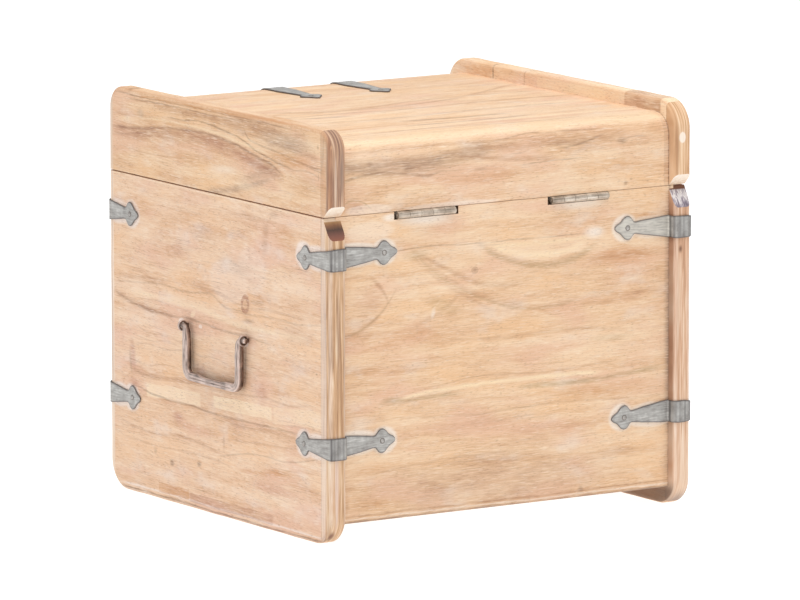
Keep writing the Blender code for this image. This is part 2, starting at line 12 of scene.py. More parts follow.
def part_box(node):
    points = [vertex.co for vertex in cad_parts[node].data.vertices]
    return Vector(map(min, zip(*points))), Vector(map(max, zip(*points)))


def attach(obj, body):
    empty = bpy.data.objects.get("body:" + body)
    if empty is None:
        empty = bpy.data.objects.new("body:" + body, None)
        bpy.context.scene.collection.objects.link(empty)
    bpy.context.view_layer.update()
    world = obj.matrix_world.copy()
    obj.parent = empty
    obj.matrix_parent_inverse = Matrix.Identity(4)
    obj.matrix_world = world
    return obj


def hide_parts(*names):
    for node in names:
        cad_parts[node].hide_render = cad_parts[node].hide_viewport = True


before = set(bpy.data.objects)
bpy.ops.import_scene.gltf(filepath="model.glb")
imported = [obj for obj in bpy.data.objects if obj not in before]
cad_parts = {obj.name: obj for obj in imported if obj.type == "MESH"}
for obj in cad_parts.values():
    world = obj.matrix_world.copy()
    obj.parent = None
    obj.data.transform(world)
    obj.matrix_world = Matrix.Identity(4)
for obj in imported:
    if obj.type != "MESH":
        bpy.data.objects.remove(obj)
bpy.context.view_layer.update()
print("chest: the frame is loaded")

sideLow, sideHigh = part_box("side_panel_right")
lidSideLow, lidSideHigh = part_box("lid_side_right")
backLow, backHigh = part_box("back_panel")
halfWidth, halfDepth, bodyTop = (float(size) for size in sideHigh)
boardHalf, wallFace = (float(size) for size in backHigh[:2])
innerFace, wallFoot = float(sideLow[0]), float(backLow[2])
lidBottom, chestTop = float(lidSideLow[2]), float(lidSideHigh[2])
lidTop = float(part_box("lid_back_rail")[1][2])


# sRGB hex to linear: ((c + 0.055) / 1.055) ** 2.4 above the dark toe
def tint(hexColour):
    parts = [int(hexColour[i:i + 2], 16) / 255 for i in (1, 3, 5)]
    return (*[((c + 0.055) / 1.055) ** 2.4 if c > 0.04045 else c / 12.92 for c in parts], 1.0)


# Adds a node: settings are its properties, sockets its inputs by place or name, each a value or another
# node's output, and stops are its ramp's (place, hex colour) or its curve's (place, value)
def addNode(tree, kind, sockets=(), out=0, stops=(), handles="AUTO", **settings):
    node = tree.nodes.new("ShaderNode" + kind)
    for key, value in settings.items():
        setattr(node, key, value)
    for key, value in sockets.items() if isinstance(sockets, dict) else enumerate(sockets):
        if isinstance(value, bpy.types.NodeSocket):
            tree.links.new(value, node.inputs[key])
        else:
            node.inputs[key].default_value = value
    if kind == "ValToRGB":
        marks = node.color_ramp.elements
        while len(marks) < len(stops):
            marks.new(0.5)
        for mark, (place, hexColour) in zip(marks, stops):
            mark.position, mark.color = place, tint(hexColour)
    elif stops:
        marks, stops = node.mapping.curves[0].points, sorted(stops)
        marks[0].location, marks[-1].location = stops[0], stops[-1]
        for stop in stops[1:-1]:
            marks.new(*stop)
        for mark in marks:
            mark.handle_type = handles
        node.mapping.update()
    return node.outputs[out]


# A new material, its node tree and its shader, with the settings on the shader's own sockets
def newMaterial(name, **settings):
    material = bpy.data.materials.new(name)
    material.use_nodes = True
    shader = material.node_tree.nodes["Principled BSDF"]
    for key, value in settings.items():
        shader.inputs[key.replace("_", " ")].default_value = value
    return material, material.node_tree, shader


# Smooth noise along a line, between -1 and 1: the sum of four sines with unlike lengths
def wander(place, step, seed):
    phases = np.random.default_rng(seed).uniform(0.0, 2.0 * np.pi, 4)
    sizes = np.array([1.0, 0.62, 0.37, 0.23])
    return (np.sin(np.asarray(place)[..., None] / (step * sizes) + phases) * sizes).sum(-1) / sizes.sum()


# A closed outline through corners (u, v, radius, ease). A corner's arc runs between its two tangent points as
# middle + radius * (cos, sin). A straight run is cut into even steps that stay clear of its ends, where the
# insets cross. Each point also gets its corner's number.
def outline(corners, spacing=0.004, arcSteps=18):
    spots = np.array([corner[:2] for corner in corners])
    arcs = []
    for here, before, after, corner in zip(spots, np.roll(spots, 1, 0), np.roll(spots, -1, 0), corners):
        radius = corner[2]
        if not radius:
            arcs.append(here[None])
            continue
        back = (before - here) / np.linalg.norm(before - here)
        ahead = (after - here) / np.linalg.norm(after - here)
        half = math.acos(back @ ahead) / 2
        middle = here + (back + ahead) / np.linalg.norm(back + ahead) * radius / math.sin(half)
        first = here + back * radius / math.tan(half) - middle
        last = here + ahead * radius / math.tan(half) - middle
        share = np.linspace(0, 1, arcSteps + 1)[:, None]
        swing = math.pi - 2 * half
        arm = first * np.sin((1 - share) * swing) + last * np.sin(share * swing)
        arcs.append(middle + arm / math.sin(swing))
    points, numbers = [], []
    for i, arc in enumerate(arcs):
        start, end = arc[-1], arcs[(i + 1) % len(arcs)][0]
        length = np.linalg.norm(end - start)
        room = min(0.0075, length / 3)
        steps = round((length - 2 * room) / spacing) + 1 if length > 2 * spacing else 0
        margin = room / max(length, 1e-9)
        run = start + (end - start) * np.linspace(margin, 1 - margin, steps)[:, None]
        points += [arc, run]
        numbers.append(np.full(len(arc) + len(run), i))
    return np.concatenate(points), np.concatenate(numbers)


# Moves each edge of an anticlockwise outline inwards by its
# own margin: a point goes where its two moved edges meet
def inset(points, margins):
    along = np.roll(points, -1, 0) - points
    along /= np.linalg.norm(along, axis=1)[:, None]
    after = np.stack([-along[:, 1], along[:, 0]], 1)
    before, near = np.roll(after, 1, 0), np.roll(margins, 1)
    cross = before[:, 0] * after[:, 1] - before[:, 1] * after[:, 0]
    flat = np.abs(cross) < 1e-6
    shift = np.stack([near * after[:, 1] - margins * before[:, 1],
                      margins * before[:, 0] - near * after[:, 0]], 1)
    shift /= np.where(flat, 1.0, cross)[:, None]
    return points + np.where(flat[:, None], after * margins[:, None], shift)


# A middle line from a start (u, v, heading) through turns (straight length,
# angle, radius): the heading changes by distance / radius on each arc, and
# the point is the running sum of (cos, sin) of the heading over fine steps.
def bentLine(start, turns, fine=0.00005):
    headings, lengths = [], []
    heading = start[2]
    for straight, angle, radius in turns:
        steps = max(1, round(straight / fine))
        headings.append(np.full(steps, heading))
        lengths.append(np.full(steps, straight / steps))
        if angle:
            steps = max(1, round(abs(angle) * radius / fine))
            headings.append(heading + angle * (np.arange(steps) + 0.5) / steps)
            lengths.append(np.full(steps, abs(angle) * radius / steps))
            heading += angle
    headings, lengths = np.concatenate(headings), np.concatenate(lengths)
    travelled = np.concatenate([[0.0], np.cumsum(lengths)])
    us = start[0] + np.concatenate([[0.0], np.cumsum(np.cos(headings) * lengths)])
    vs = start[1] + np.concatenate([[0.0], np.cumsum(np.sin(headings) * lengths)])
    middles = (travelled[1:] + travelled[:-1]) / 2

    def at(distances):
        turned = np.interp(distances, middles, headings)
        return np.interp(distances, travelled, us), np.interp(distances, travelled, vs), turned

    return travelled[-1], at


# Makes a piece from points and faces on a body, in place of the nodes that it
# stands for. A cut is a plane (point, normal): what lies beyond it goes, and
# the flat that it leaves gets the second material. The marks are attributes.
def addPiece(name, points, faces, materials, body, slot, nodes=(), sharp=38.0, cut=None, marks=None):
    mesh = bpy.data.meshes.new(name)
    mesh.from_pydata(np.asarray(points).reshape(-1, 3).tolist(), [], faces)
    for mark, values in (marks or {}).items():
        values = np.asarray(values, np.float32)
        kind, key = ("FLOAT_VECTOR", "vector") if values.size == 3 * len(mesh.vertices) else ("FLOAT", "value")
        mesh.attributes.new(mark, kind, "POINT").data.foreach_set(key, values.ravel())
    shell = bmesh.new()
    shell.from_mesh(mesh)
    if cut:
        everything = shell.verts[:] + shell.edges[:] + shell.faces[:]
        kept = bmesh.ops.bisect_plane(shell, geom=everything, plane_co=cut[0], plane_no=cut[1],
                                      clear_outer=True)
        rim = [part for part in kept["geom_cut"] if isinstance(part, bmesh.types.BMEdge)]
        for face in bmesh.ops.holes_fill(shell, edges=rim)["faces"]:
            face.material_index = 1
    bmesh.ops.recalc_face_normals(shell, faces=shell.faces)
    shell.to_mesh(mesh)
    shell.free()
    mesh.shade_smooth()
    mesh.set_sharp_from_angle(angle=math.radians(sharp))
    for material in materials if isinstance(materials, (list, tuple)) else [materials]:
        mesh.materials.append(material)
    piece = bpy.data.objects.new(name, mesh)
    bpy.context.scene.collection.objects.link(piece)
    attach(piece, body)
    if nodes:
        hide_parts(*nodes)
    return piece


# Faces of a skin through closed rings of the same count, with a flat face over each end
def ringFaces(rings, count, start=0, closed=True):
    ring, place = np.meshgrid(np.arange(rings - 1), np.arange(count), indexing="ij")
    ring, place = ring.ravel() * count + start, place.ravel()
    following = (place + 1) % count
    above = ring + count
    quads = np.stack([ring + place, ring + following, above + following, above + place], 1).tolist()
    last = start + (rings - 1) * count
    return quads + [list(range(start, start + count)), list(range(last, last + count))] if closed else quads


# Joins several skins, each (rings, count) points with capped ends, into one list of points and faces
def joinSkins(*skins):
    points, faces, start = [], [], 0
    for skin in skins:
        rings, count = skin.shape[:2]
        points.append(skin.reshape(-1, 3))
        faces += ringFaces(rings, count, start)
        start += rings * count
    return np.concatenate(points), faces


# A turned form about a line along X, Y or Z: radius * (cos, sin) round the middle at each place along it
def turned(places, radii, middle, axis, sides=32):
    angles = np.linspace(0, 2 * math.pi, sides, endpoint=False)
    first, second = [(1, 2), (2, 0), (0, 1)][axis]
    rings = np.zeros((len(places), sides, 3))
    rings[..., axis] = np.asarray(places)[:, None]
    rings[..., first] = middle[0] + np.asarray(radii)[:, None] * np.cos(angles)
    rings[..., second] = middle[1] + np.asarray(radii)[:, None] * np.sin(angles)
    return rings


# Acacia, planed, glued up from staves, sanded and bleached. The bleach leaves it a pale peach with a dry,
# almost matt face and chalk in the hollows and round the ironwork; the grain stays as soft brown figure, and
# dark gum lines, small knots and reddish clouds show through. The fibres are about 0.3 mm wide and are drawn
# twice as coarse, so that they show. A pattern has its size across and along the grain in metres, then its
# noise's detail, roughness and distortion.
woodLooks = {
    "ramp": ((0.0, "#F7E3C9"), (0.32, "#F0D3B3"), (0.50, "#E8C4A0"), (0.68, "#D8AD87"), (0.86, "#B88A68"),
             (1.0, "#886048")),
    "tones": {"umber": "#7F5D48", "smoke": "#A08A7B", "amber": "#CB925F", "rose": "#C4937A",
              "olive": "#A08358", "cream": "#FAE4C0", "dusk": "#AB8B74", "brown": "#B48766",
              "russet": "#AE7C62", "chalk": "#F6EADD"},
    "plain": {"drift": (0.030, 0.075, 2, 0.5, 0), "jitter": (0.005, 0.022, 3, 0.6, 0),
              "hue": (0.030, 0.090, 2, 0.5, 0), "cloud": (0.012, 0.036, 3, 0.6, 0.2),
              "chalkPatch": (0.020, 0.045, 3, 0.6, 0)},
    "swaying": {"band": (0.017, 0.30, 2, 0.55, 0), "figure": (0.0050, 0.110, 3, 0.6, 0.3),
                "fibre": (0.00072, 0.017, 3, 0.62, 0), "hair": (0.00050, 0.036, 3, 0.55, 0),
                "hairZone": (0.014, 0.060, 2, 0.5, 0), "fleck": (0.00075, 0.0046, 2, 0.55, 0),
                "pale": (0.0009, 0.0120, 2, 0.55, 0)},
    "weights": {"band": 0.55, "figure": 0.37, "fibre": 0.60, "cloud": 0.36},
    "sway": 0.0048, "drawnSway": 0.0036, "jitter": 0.0024, "gloss": 0.28, "roughness": (0.58, 0.70),
    "pink": ("#E4B89C", 0.6), "orange": ("#EDC295", 0.55), "chalkPatch": ("#ECDDCF", 0.42),
    "hair": ("#9A7056", 0.42), "fleck": ("#A27A5F", 0.46), "pale": ("#FAEBD8", 0.36),
    # painted shade: footShade on the feet's inner faces under the walls, footArrisShade on the arris near the
    # floor
    "footShade": "#5E4534", "footArrisShade": "#8F7260", "relief": 0.00014,
}
smooth = {"interpolation_type": "SMOOTHSTEP"}


# Lays a colour over the one under it, as strongly as the product of the masks
def coat(tree, under, over, *masks, blend="MIX"):
    share = masks[0]
    for mask in masks[1:]:
        share = addNode(tree, "Math", (share, mask), operation="MULTIPLY")
    over = tint(over) if isinstance(over, str) else over
    return addNode(tree, "Mix", {0: share, 6: under, 7: over}, 2, data_type="RGBA", blend_type=blend)


# A noise drawn out along one axis: its place is divided by the size along on that axis and by the size across
# on the others, and the seed moves it
def drawnOut(tree, source, axis, seed, across, along, detail, rough, twist):
    spread = [1 / across] * 3
    spread[axis] = 1 / along
    place = addNode(tree, "Mapping", {0: source, 1: (seed * 3.7, seed * 1.3, seed * 2.1), 3: spread})
    return addNode(tree, "TexNoise", {"Vector": place, "Scale": 1.0, "Detail": detail, "Roughness": rough,
                                      "Distortion": twist})


# Grain drawn in millimetres, by tone. A line is (half width, strength, u, v, u, v, ...): its strength
# falls with the distance of v from the line and fades at its ends. A spot is (u, v, half length, half height,
# turn in degrees, strength) and falls off from its middle. A halo is a spot with a wide flat middle, a stave
# a sharp-edged slip of wood and a ring the edge of a spot. Each tone keeps the strongest of its marks. Reach
# and rise are the start and length of the stretch of u and of v that the lines may cross.
# Some of these marks are painted shade and painted highlight, noted where they are listed.
def drawnMarks(tree, u, v, drawn, reach=(-0.2, 0.4), rise=(0.0, 0.4)):
    masks = {}
    share = addNode(tree, "MapRange", (u, reach[0], reach[0] + reach[1]))
    flat = addNode(tree, "CombineXYZ", (u, v))
    start, length = (1000 * size for size in reach)

    def keep(tone, mask):
        masks[tone] = mask if tone not in masks else addNode(
            tree, "Math", (masks[tone], mask), operation="MAXIMUM")

    for tone, lines in drawn.get("lines", {}).items():
        for width, strength, *path in lines:
            stops = sorted(((pu - start) / length, (pv / 1000 - rise[0]) / rise[1])
                           for pu, pv in zip(path[::2], path[1::2]))
            away = addNode(tree, "FloatCurve", {"Value": share}, stops=stops)
            away = addNode(tree, "Math", (away, rise[1], rise[0]), operation="MULTIPLY_ADD")
            away = addNode(tree, "Math", (v, away), operation="SUBTRACT")
            away = addNode(tree, "Math", (away,), operation="ABSOLUTE")
            mask = addNode(tree, "MapRange", (away, 0.0, width / 1000, strength, 0.0), **smooth)
            first, last = stops[0][0], stops[-1][0]
            fade = min(0.03, (last - first) / 3)
            ends = [(max(0.0, first - fade), 0.0), (first + fade * 0.5, 1.0),
                    (last - fade * 0.5, 1.0), (min(1.0, last + fade), 0.0)]
            # a line that runs off the board doesn't fade there
            ends = ends[int(first < 0.04):4 - int(last > 0.96)]
            faded = addNode(tree, "FloatCurve", {"Value": share}, stops=ends, handles="VECTOR")
            keep(tone, addNode(tree, "Math", (mask, faded), operation="MULTIPLY"))
    for kind, inner in (("spots", 0.1), ("halos", 0.72), ("staves", 0.93), ("rings", 0.0)):
        for tone, marks in drawn.get(kind, {}).items():
            for pu, pv, halfU, halfV, turn, strength in marks:
                near = addNode(tree, "Mapping", (
                    flat, (pu / 1000, pv / 1000, 0.0), (0.0, 0.0, math.radians(turn)),
                    (halfU / 1000, halfV / 1000, 1.0)), vector_type="TEXTURE")
                if kind == "staves":
                    near = addNode(tree, "VectorMath", (near,), operation="ABSOLUTE")
                    sides = addNode(tree, "SeparateXYZ", (near,)).node.outputs
                    away = addNode(tree, "Math", (sides[0], sides[1]), operation="MAXIMUM")
                else:
                    away = addNode(tree, "VectorMath", (near,), 1, operation="LENGTH")
                if kind == "rings":
                    away = addNode(tree, "Math", (away, 0.75, 0.25), operation="COMPARE")
                    away = addNode(tree, "Math", (1.0, away), operation="SUBTRACT")
                keep(tone, addNode(tree, "MapRange", (away, inner, 1.0, strength, 0.0), **smooth))
    return masks


# The strips on the ends of a side board, in front of and behind two places, laid over
# the board's colour. Their s runs over the outer face, round the arris and across the
# end: (|y| - flat) * face + (half width - |x|), where face is 1 on the outer face and
# falls to 0 round the arris. The darkness goes with the height in millimetres.
def endStrips(tree, colour, apart, broken, ends, seed):
    tones, (x, y, z) = woodLooks["tones"], apart
    away = addNode(tree, "Math", (y,), operation="ABSOLUTE")
    away = addNode(tree, "Math", (away, halfDepth - ends["arrisWidth"]), operation="SUBTRACT")
    side = addNode(tree, "Math", (x,), operation="ABSOLUTE")
    face = addNode(tree, "MapRange", (side, halfWidth - ends["arrisWidth"], halfWidth - 0.0008,
                                      0.0, 1.0), **smooth)
    side = addNode(tree, "Math", (halfWidth, side), operation="SUBTRACT")
    run = addNode(tree, "Math", (away, face, side), operation="MULTIPLY_ADD")
    behind = addNode(tree, "Math", (y, ends["rear"]), operation="GREATER_THAN")
    before = addNode(tree, "Math", (y, ends["front"]), operation="LESS_THAN")
    onEnd = addNode(tree, "Math", (behind, before), operation="MAXIMUM")
    fading = addNode(tree, "MapRange", (run, -0.0035, -0.0005, ends["face"], 1.0), **smooth)
    onEnd = addNode(tree, "Math", (onEnd, fading), operation="MULTIPLY")
    strip = addNode(tree, "CombineXYZ", (run, behind, z))
    stripes = drawnOut(tree, strip, 2, seed, ends["stripe"], 0.085, 2.0, 0.55, 0.3)
    hairs = drawnOut(tree, strip, 2, seed, ends["stripe"] * 0.33, 0.030, 2.0, 0.6, 0.0)
    height = addNode(tree, "MapRange", (z, 0.0, 0.4))
    dark = [(level / 400, share) for level, share in ends["dark"]]
    dark = addNode(tree, "FloatCurve", {"Value": height}, stops=dark)
    streak = addNode(tree, "Math", (stripes, 1.15, -0.575), operation="MULTIPLY_ADD")
    streak = addNode(tree, "Math", (streak, dark), operation="ADD")
    streak = addNode(tree, "Math", (hairs, 0.8, streak), operation="MULTIPLY_ADD")
    streak = addNode(tree, "Math", (streak, 0.40), operation="SUBTRACT")
    faced = addNode(tree, "ValToRGB", (streak,), stops=ends["ramp"])
    for tone, mask in drawnMarks(tree, run, z, ends["drawn"], (-0.03, 0.06)).items():
        faced = coat(tree, faced, tones[tone], mask)
    faced = coat(tree, faced, woodLooks["pale"][0], before, 0.5)
    colour = coat(tree, colour, faced, onEnd)
    # the inner faces of the feet, under the walls, are painted dark as painted shade
    inward = addNode(tree, "MapRange", (side, 0.0164, 0.0174, 0.0, 1.0), **smooth)
    low = addNode(tree, "MapRange", (z, 0.013, 0.026, 0.8, 0.0), **smooth)
    colour = coat(tree, colour, woodLooks["footShade"], inward, low)
    # a thin dark joint where the rear strip meets the face
    gap = addNode(tree, "Math", (y, ends["rear"]), operation="SUBTRACT")
    gap = addNode(tree, "Math", (gap,), operation="ABSOLUTE")
    joint = addNode(tree, "MapRange", (gap, 0.0, 0.0009, 0.28, 0.0), **smooth)
    colour = coat(tree, colour, tones["umber"], joint, broken)
    worn = addNode(tree, "Attribute", out=2, attribute_name="arris")
    # near the floor the arris is painted a darker brown: painted shade where the glowing floor lights it
    foot = addNode(tree, "MapRange", (z, 0.010, 0.030, 0.0, 1.0), **smooth)
    edge = coat(tree, tint(woodLooks["footArrisShade"]), ends["arris"][0], foot)
    wearAndHighlight = addNode(tree, "MapRange", (hairs, 0.34, 0.62, 1.0, 0.5), **smooth)
    return coat(tree, colour, edge, worn, wearAndHighlight, ends["arris"][1])


# One board's wood. The grain runs along axis 0 or 1, across is the other axis of its face, and the seed moves
# the pattern, so that no two boards are alike. A side board has ends, which get upright strips. The cast is a
# linear colour that the whole board is multiplied by. Chalk is rubbed on from outside: it stays off the inner
# half of a board whose outer face lies at the distance outer.
def boardWood(name, along, across, drawn=None, seed=0, ends=None, shade=0.0, cast=None, outer=None):
    looks = woodLooks
    material, tree, shader = newMaterial(name, Specular_IOR_Level=looks["gloss"])
    place = addNode(tree, "TexCoord", out=3)
    apart = addNode(tree, "SeparateXYZ", (place,)).node.outputs
    u, v = apart[along], apart[across]
    noises = {key: drawnOut(tree, place, along, seed, *sizes) for key, sizes in looks["plain"].items()}
    drift = addNode(tree, "Math", (noises["drift"], 0.5), operation="SUBTRACT")
    lift = addNode(tree, "Math", (drift, looks["sway"]), operation="MULTIPLY")
    push = [1.0 if axis == across else 0.0 for axis in range(3)]
    push = addNode(tree, "VectorMath", {0: push, 3: lift}, operation="SCALE")
    swaying = addNode(tree, "VectorMath", (place, push), operation="ADD")
    noises |= {key: drawnOut(tree, swaying, along, seed, *sizes) for key, sizes in looks["swaying"].items()}
    jitter = addNode(tree, "Math", (noises["jitter"], 0.5), operation="SUBTRACT")
    lift = addNode(tree, "Math", (drift, looks["drawnSway"]), operation="MULTIPLY")
    jitter = addNode(tree, "Math", (jitter, looks["jitter"], lift), operation="MULTIPLY_ADD")
    drawnV = addNode(tree, "Math", (v, jitter), operation="ADD")

    tone = 0.5 + shade
    for key, weight in looks["weights"].items():
        offset = addNode(tree, "Math", (noises[key], 0.5), operation="SUBTRACT")
        tone = addNode(tree, "Math", (offset, weight, tone), operation="MULTIPLY_ADD")
    colour = addNode(tree, "ValToRGB", (tone,), stops=looks["ramp"])
    for key, noise, low, high in (("pink", "hue", 0.48, 0.70), ("orange", "hue", 0.50, 0.28),
                                  ("chalkPatch", "chalkPatch", 0.52, 0.76)):
        over, strength = looks[key]
        mask = addNode(tree, "MapRange", (noises[noise], low, high, 0.0, strength), **smooth)
        colour = coat(tree, colour, over, mask)

    # the drawn grain breaks up with the fibres and the clouds; the chalk doesn't
    broken = addNode(tree, "MapRange", (noises["fibre"], 0.30, 0.66, 0.42, 1.0), **smooth)
    cloudy = addNode(tree, "MapRange", (noises["cloud"], 0.36, 0.58, 0.62, 1.0), **smooth)
    broken = addNode(tree, "Math", (broken, cloudy), operation="MULTIPLY")
    outside = 1.0
    if outer:
        depth = addNode(tree, "Math", (apart[3 - along - across],), operation="ABSOLUTE")
        outside = addNode(tree, "MapRange", (depth, outer - 0.010, outer - 0.006, 0.0, 1.0), **smooth)
    for key, mask in drawnMarks(tree, u, drawnV, drawn or {}).items():
        colour = coat(tree, colour, looks["tones"][key], mask, outside if key == "chalk" else broken)

    # fine dark gum lines that gather in zones, dark flecks of
    # a few millimetres, and pale fibres that the bleach left
    hair = addNode(tree, "MapRange", (noises["hair"], 0.56, 0.68, 0.0, 1.0), **smooth)
    zone = addNode(tree, "MapRange", (noises["hairZone"], 0.40, 0.62, 0.12, 1.0), **smooth)
    colour = coat(tree, colour, looks["hair"][0], hair, zone, looks["hair"][1])
    fleck = addNode(tree, "MapRange", (noises["fleck"], 0.55, 0.72, 0.0, 1.0), **smooth)
    patchy = addNode(tree, "MapRange", (noises["cloud"], 0.36, 0.60, 0.45, 1.0), **smooth)
    colour = coat(tree, colour, looks["fleck"][0], fleck, patchy, looks["fleck"][1])
    pale = addNode(tree, "MapRange", (noises["pale"], 0.54, 0.72, 0.0, 1.0), **smooth)
    colour = coat(tree, colour, looks["pale"][0], pale, looks["pale"][1])

    if ends:
        colour = endStrips(tree, colour, apart, broken, ends, seed)
    if cast:
        colour = coat(tree, colour, (*cast, 1.0), 1.0, blend="MULTIPLY")
    tree.links.new(colour, shader.inputs["Base Color"])
    rough = addNode(tree, "MapRange", (noises["fibre"], 0.3, 0.7, *looks["roughness"]))
    tree.links.new(rough, shader.inputs["Roughness"])
    height = addNode(tree, "Math", (noises["fibre"], -0.5, noises["figure"]), operation="MULTIPLY_ADD")
    height = addNode(tree, "Math", (fleck, -0.6, height), operation="MULTIPLY_ADD")
    relief = addNode(tree, "Bump", {"Strength": 0.35, "Distance": looks["relief"], "Height": height})
    tree.links.new(relief, shader.inputs["Normal"])
    return material


# Acacia end grain, left rough by the saw: darker and duller than the faces.
# Its colour goes with the height between two levels, moved up and down by
# short upright smears, and above a last level it has the colour of the cap.
def endGrain(name, low, high, colours, patch, sway, cap=None):
    material, tree, shader = newMaterial(name, Roughness=0.8, Specular_IOR_Level=0.2)
    place = addNode(tree, "TexCoord", out=3)
    z = addNode(tree, "SeparateXYZ", (place,), 2)
    sized = addNode(tree, "Mapping", {0: place, 3: (1 / patch[0], 1 / patch[1], 1 / patch[2])})
    smear = addNode(tree, "TexNoise", {"Vector": sized, "Scale": 1.0, "Detail": 4.0, "Roughness": 0.6,
                                       "Distortion": 0.8})
    smear = addNode(tree, "Math", (smear, 0.5), operation="SUBTRACT")
    height = addNode(tree, "MapRange", (z, low, high))
    height = addNode(tree, "Math", (smear, sway, height), operation="MULTIPLY_ADD")
    colour = addNode(tree, "ValToRGB", (height,), stops=colours)
    if cap:
        above = addNode(tree, "MapRange", (z, cap[0] - 0.0004, cap[0] + 0.0004))
        colour = coat(tree, colour, cap[1], above)
    tree.links.new(colour, shader.inputs["Base Color"])
    return material


# Grain marks that stand out on each board, in millimetres; a few are painted shade and painted highlight,
# noted where they stand
bodySideMarks = {
    "lines": {
        "cream": ((1.6, 0.7, -190, 302.4, -60, 302.6, 60, 302.2, 182, 302.6), (5, 0.7, -150, 192, -117, 193,
            -88, 193, -63, 192, -29, 192, 5, 188, 36, 186, 90, 186, 150, 188)),
        "brown": ((4.6, 0.85, -178, 187, -155, 182, -126, 180, -97, 179, -84, 179), (4, 0.5, -170, 205,
            -130, 208, -95, 210), (3, 0.45, -40, 212, 0, 211, 40, 204, 90, 206, 150, 206), (4, 0.7, -150, 118,
            -115, 116, -69, 119, -35, 121, -5, 121), (2.4, 0.55, -12, 118, 44, 121, 86, 124, 113, 122,
            154, 126), (4, 0.4, 0, 92, 44, 92, 90, 93, 135, 94), (1.6, 0.42, -144, 144, -120, 146, -95, 145,
            -63, 149), (1.6, 0.4, -147, 127, -120, 126, -100, 129, -75, 129), (1.5, 0.4, -140, 160, -118, 157,
            -92, 159, -70, 156), (1.2, 0.4, -145, 152, -118, 150, -92, 153, -72, 151), (1.6, 0.42, -50, 150,
            -30, 147, -10, 149, 15, 146), (1.6, 0.4, -45, 133, -20, 135, 10, 133, 30, 135), (1.5, 0.34,
            -48, 158, -24, 154, 0, 157, 24, 155), (1.4, 0.4, 60, 150, 90, 146, 130, 149, 165, 146),
            (2.6, 0.45, -170, 66, -120, 62, -60, 66, 0, 60), (2, 0.4, -165, 52, -100, 50, -30, 53, 20, 50),
            (1.6, 0.4, 20, 75, 80, 80, 140, 84)),
        "umber": ((2.2, 0.5, -175, 186, -155, 182, -126, 179, -97, 179, -74, 179, -51, 181, -34, 180, -6, 178,
            25, 177, 53, 177, 83, 175), (1.9, 0.34, -175, 199, -149, 202, -117, 205, -88, 206, -63, 204,
            -29, 207, -12, 208, 14, 199, 36, 198, 61, 197, 83, 199, 114, 200, 141, 200, 177, 204), (1.8, 0.55,
            -141, 103, -98, 98, -69, 98, -41, 98, -13, 96, 16, 96, 44, 97, 71, 97, 99, 98, 135, 98),
            # the last umber line, 3.4 mm up, is a painted shadow along the bottom edge
            (1.4, 0.42, 11, 59, 71, 68, 127, 70, 179, 81), (1.6, 0.8, -172, 3.4, -60, 3.8, 60, 3.2,
            178, 3.6)),
        "chalk": ((1.8, 0.6, -168, 7, 0, 7.6, 178, 7),),
        "amber": ((3.2, 0.5, 40, 49, 90, 55, 130, 62, 170, 66),),
    },
    "spots": {
        "brown": ((50, 202, 13, 15, 0, 0.6), (84, 275, 9, 24, -8, 0.55), (10, 70, 3.4, 10, 0, 0.55),
            (140, 190, 44, 14, 0, 0.4), (60, 290, 70, 5, 0, 0.4), (-20, 262, 40, 14, 0, 0.3)),
        "umber": ((53, 191, 15, 3.2, 6, 0.6), (98, 297, 11, 5, 0, 0.45), (-157, 126, 4, 16, 8, 0.5),
            (-83, 38, 5.6, 4.2, 0, 0.8), (-113, 45, 4.4, 4.2, 0, 0.6), (-34, 44, 5.2, 4, 0, 0.75),
            (70, 211, 18, 3.6, 4, 0.35), (172, 158, 2.4, 1.6, 0, 0.7), (150, 90, 1.8, 1.4, 0, 0.6)),
        "amber": ((118, 278, 30, 16, 0, 0.6), (-150, 275, 38, 18, 6, 0.5), (-95, 250, 42, 24, 0, 0.4),
            (108, 57, 44, 6, 2, 0.7)),
        "rose": ((-153, 132, 7, 24, 8, 0.9), (-150, 106, 14, 6, 0, 0.7), (-29, 130, 12, 12, 0, 0.75),
            (-72, 84, 14, 7, 0, 0.85), (78, 126, 13, 14, 0, 0.75), (-66, 244, 38, 12, 6, 0.5),
            (100, 40, 50, 12, 0, 0.35)),
        "russet": ((-36, 133, 4.5, 11, 6, 0.55),),
        "smoke": ((181, 213, 1.6, 7, 0, 0.7), (30, 240, 50, 16, 0, 0.25)),
    },
    "rings": {
        "russet": ((48, 206, 7.4, 9.4, -8, 0.8),),
    },
    "halos": {
        "chalk": ((151, 266, 17, 15, 0, 0.7), (175, 266, 30, 13.6, 0, 0.65), (151, 91, 17, 15.5, 0, 0.7),
            (175, 91, 30, 14, 0, 0.65), (-154, 266, 17, 15.5, 0, 0.7), (-178, 266, 28, 13.6, 0, 0.65),
            (-155, 91, 17, 15.5, 0, 0.7), (-178, 91, 28, 13.6, 0, 0.65), (-64, 175, 7, 5.5, 0, 0.7),
            (48, 172, 7, 5.5, 0, 0.6), (-31, 176, 3.6, 2.2, 0, 0.55), (20, 225, 40, 24, 0, 0.25),
            (60, 240, 30, 26, 0, 0.2)),
        "cream": ((-44, 186, 6, 3, 30, 0.8),),
    },
    "staves": {
        "cream": ((-80, 104, 50, 6.6, 2, 0.8), (43, 109, 53, 6.2, 2, 0.85), (138, 113, 42, 8, 4, 0.5)),
        "russet": ((22, 11, 76, 4.6, 0.4, 0.55),),
        "amber": ((-80, 12, 28, 5, 0.4, 0.75),),
    },
}
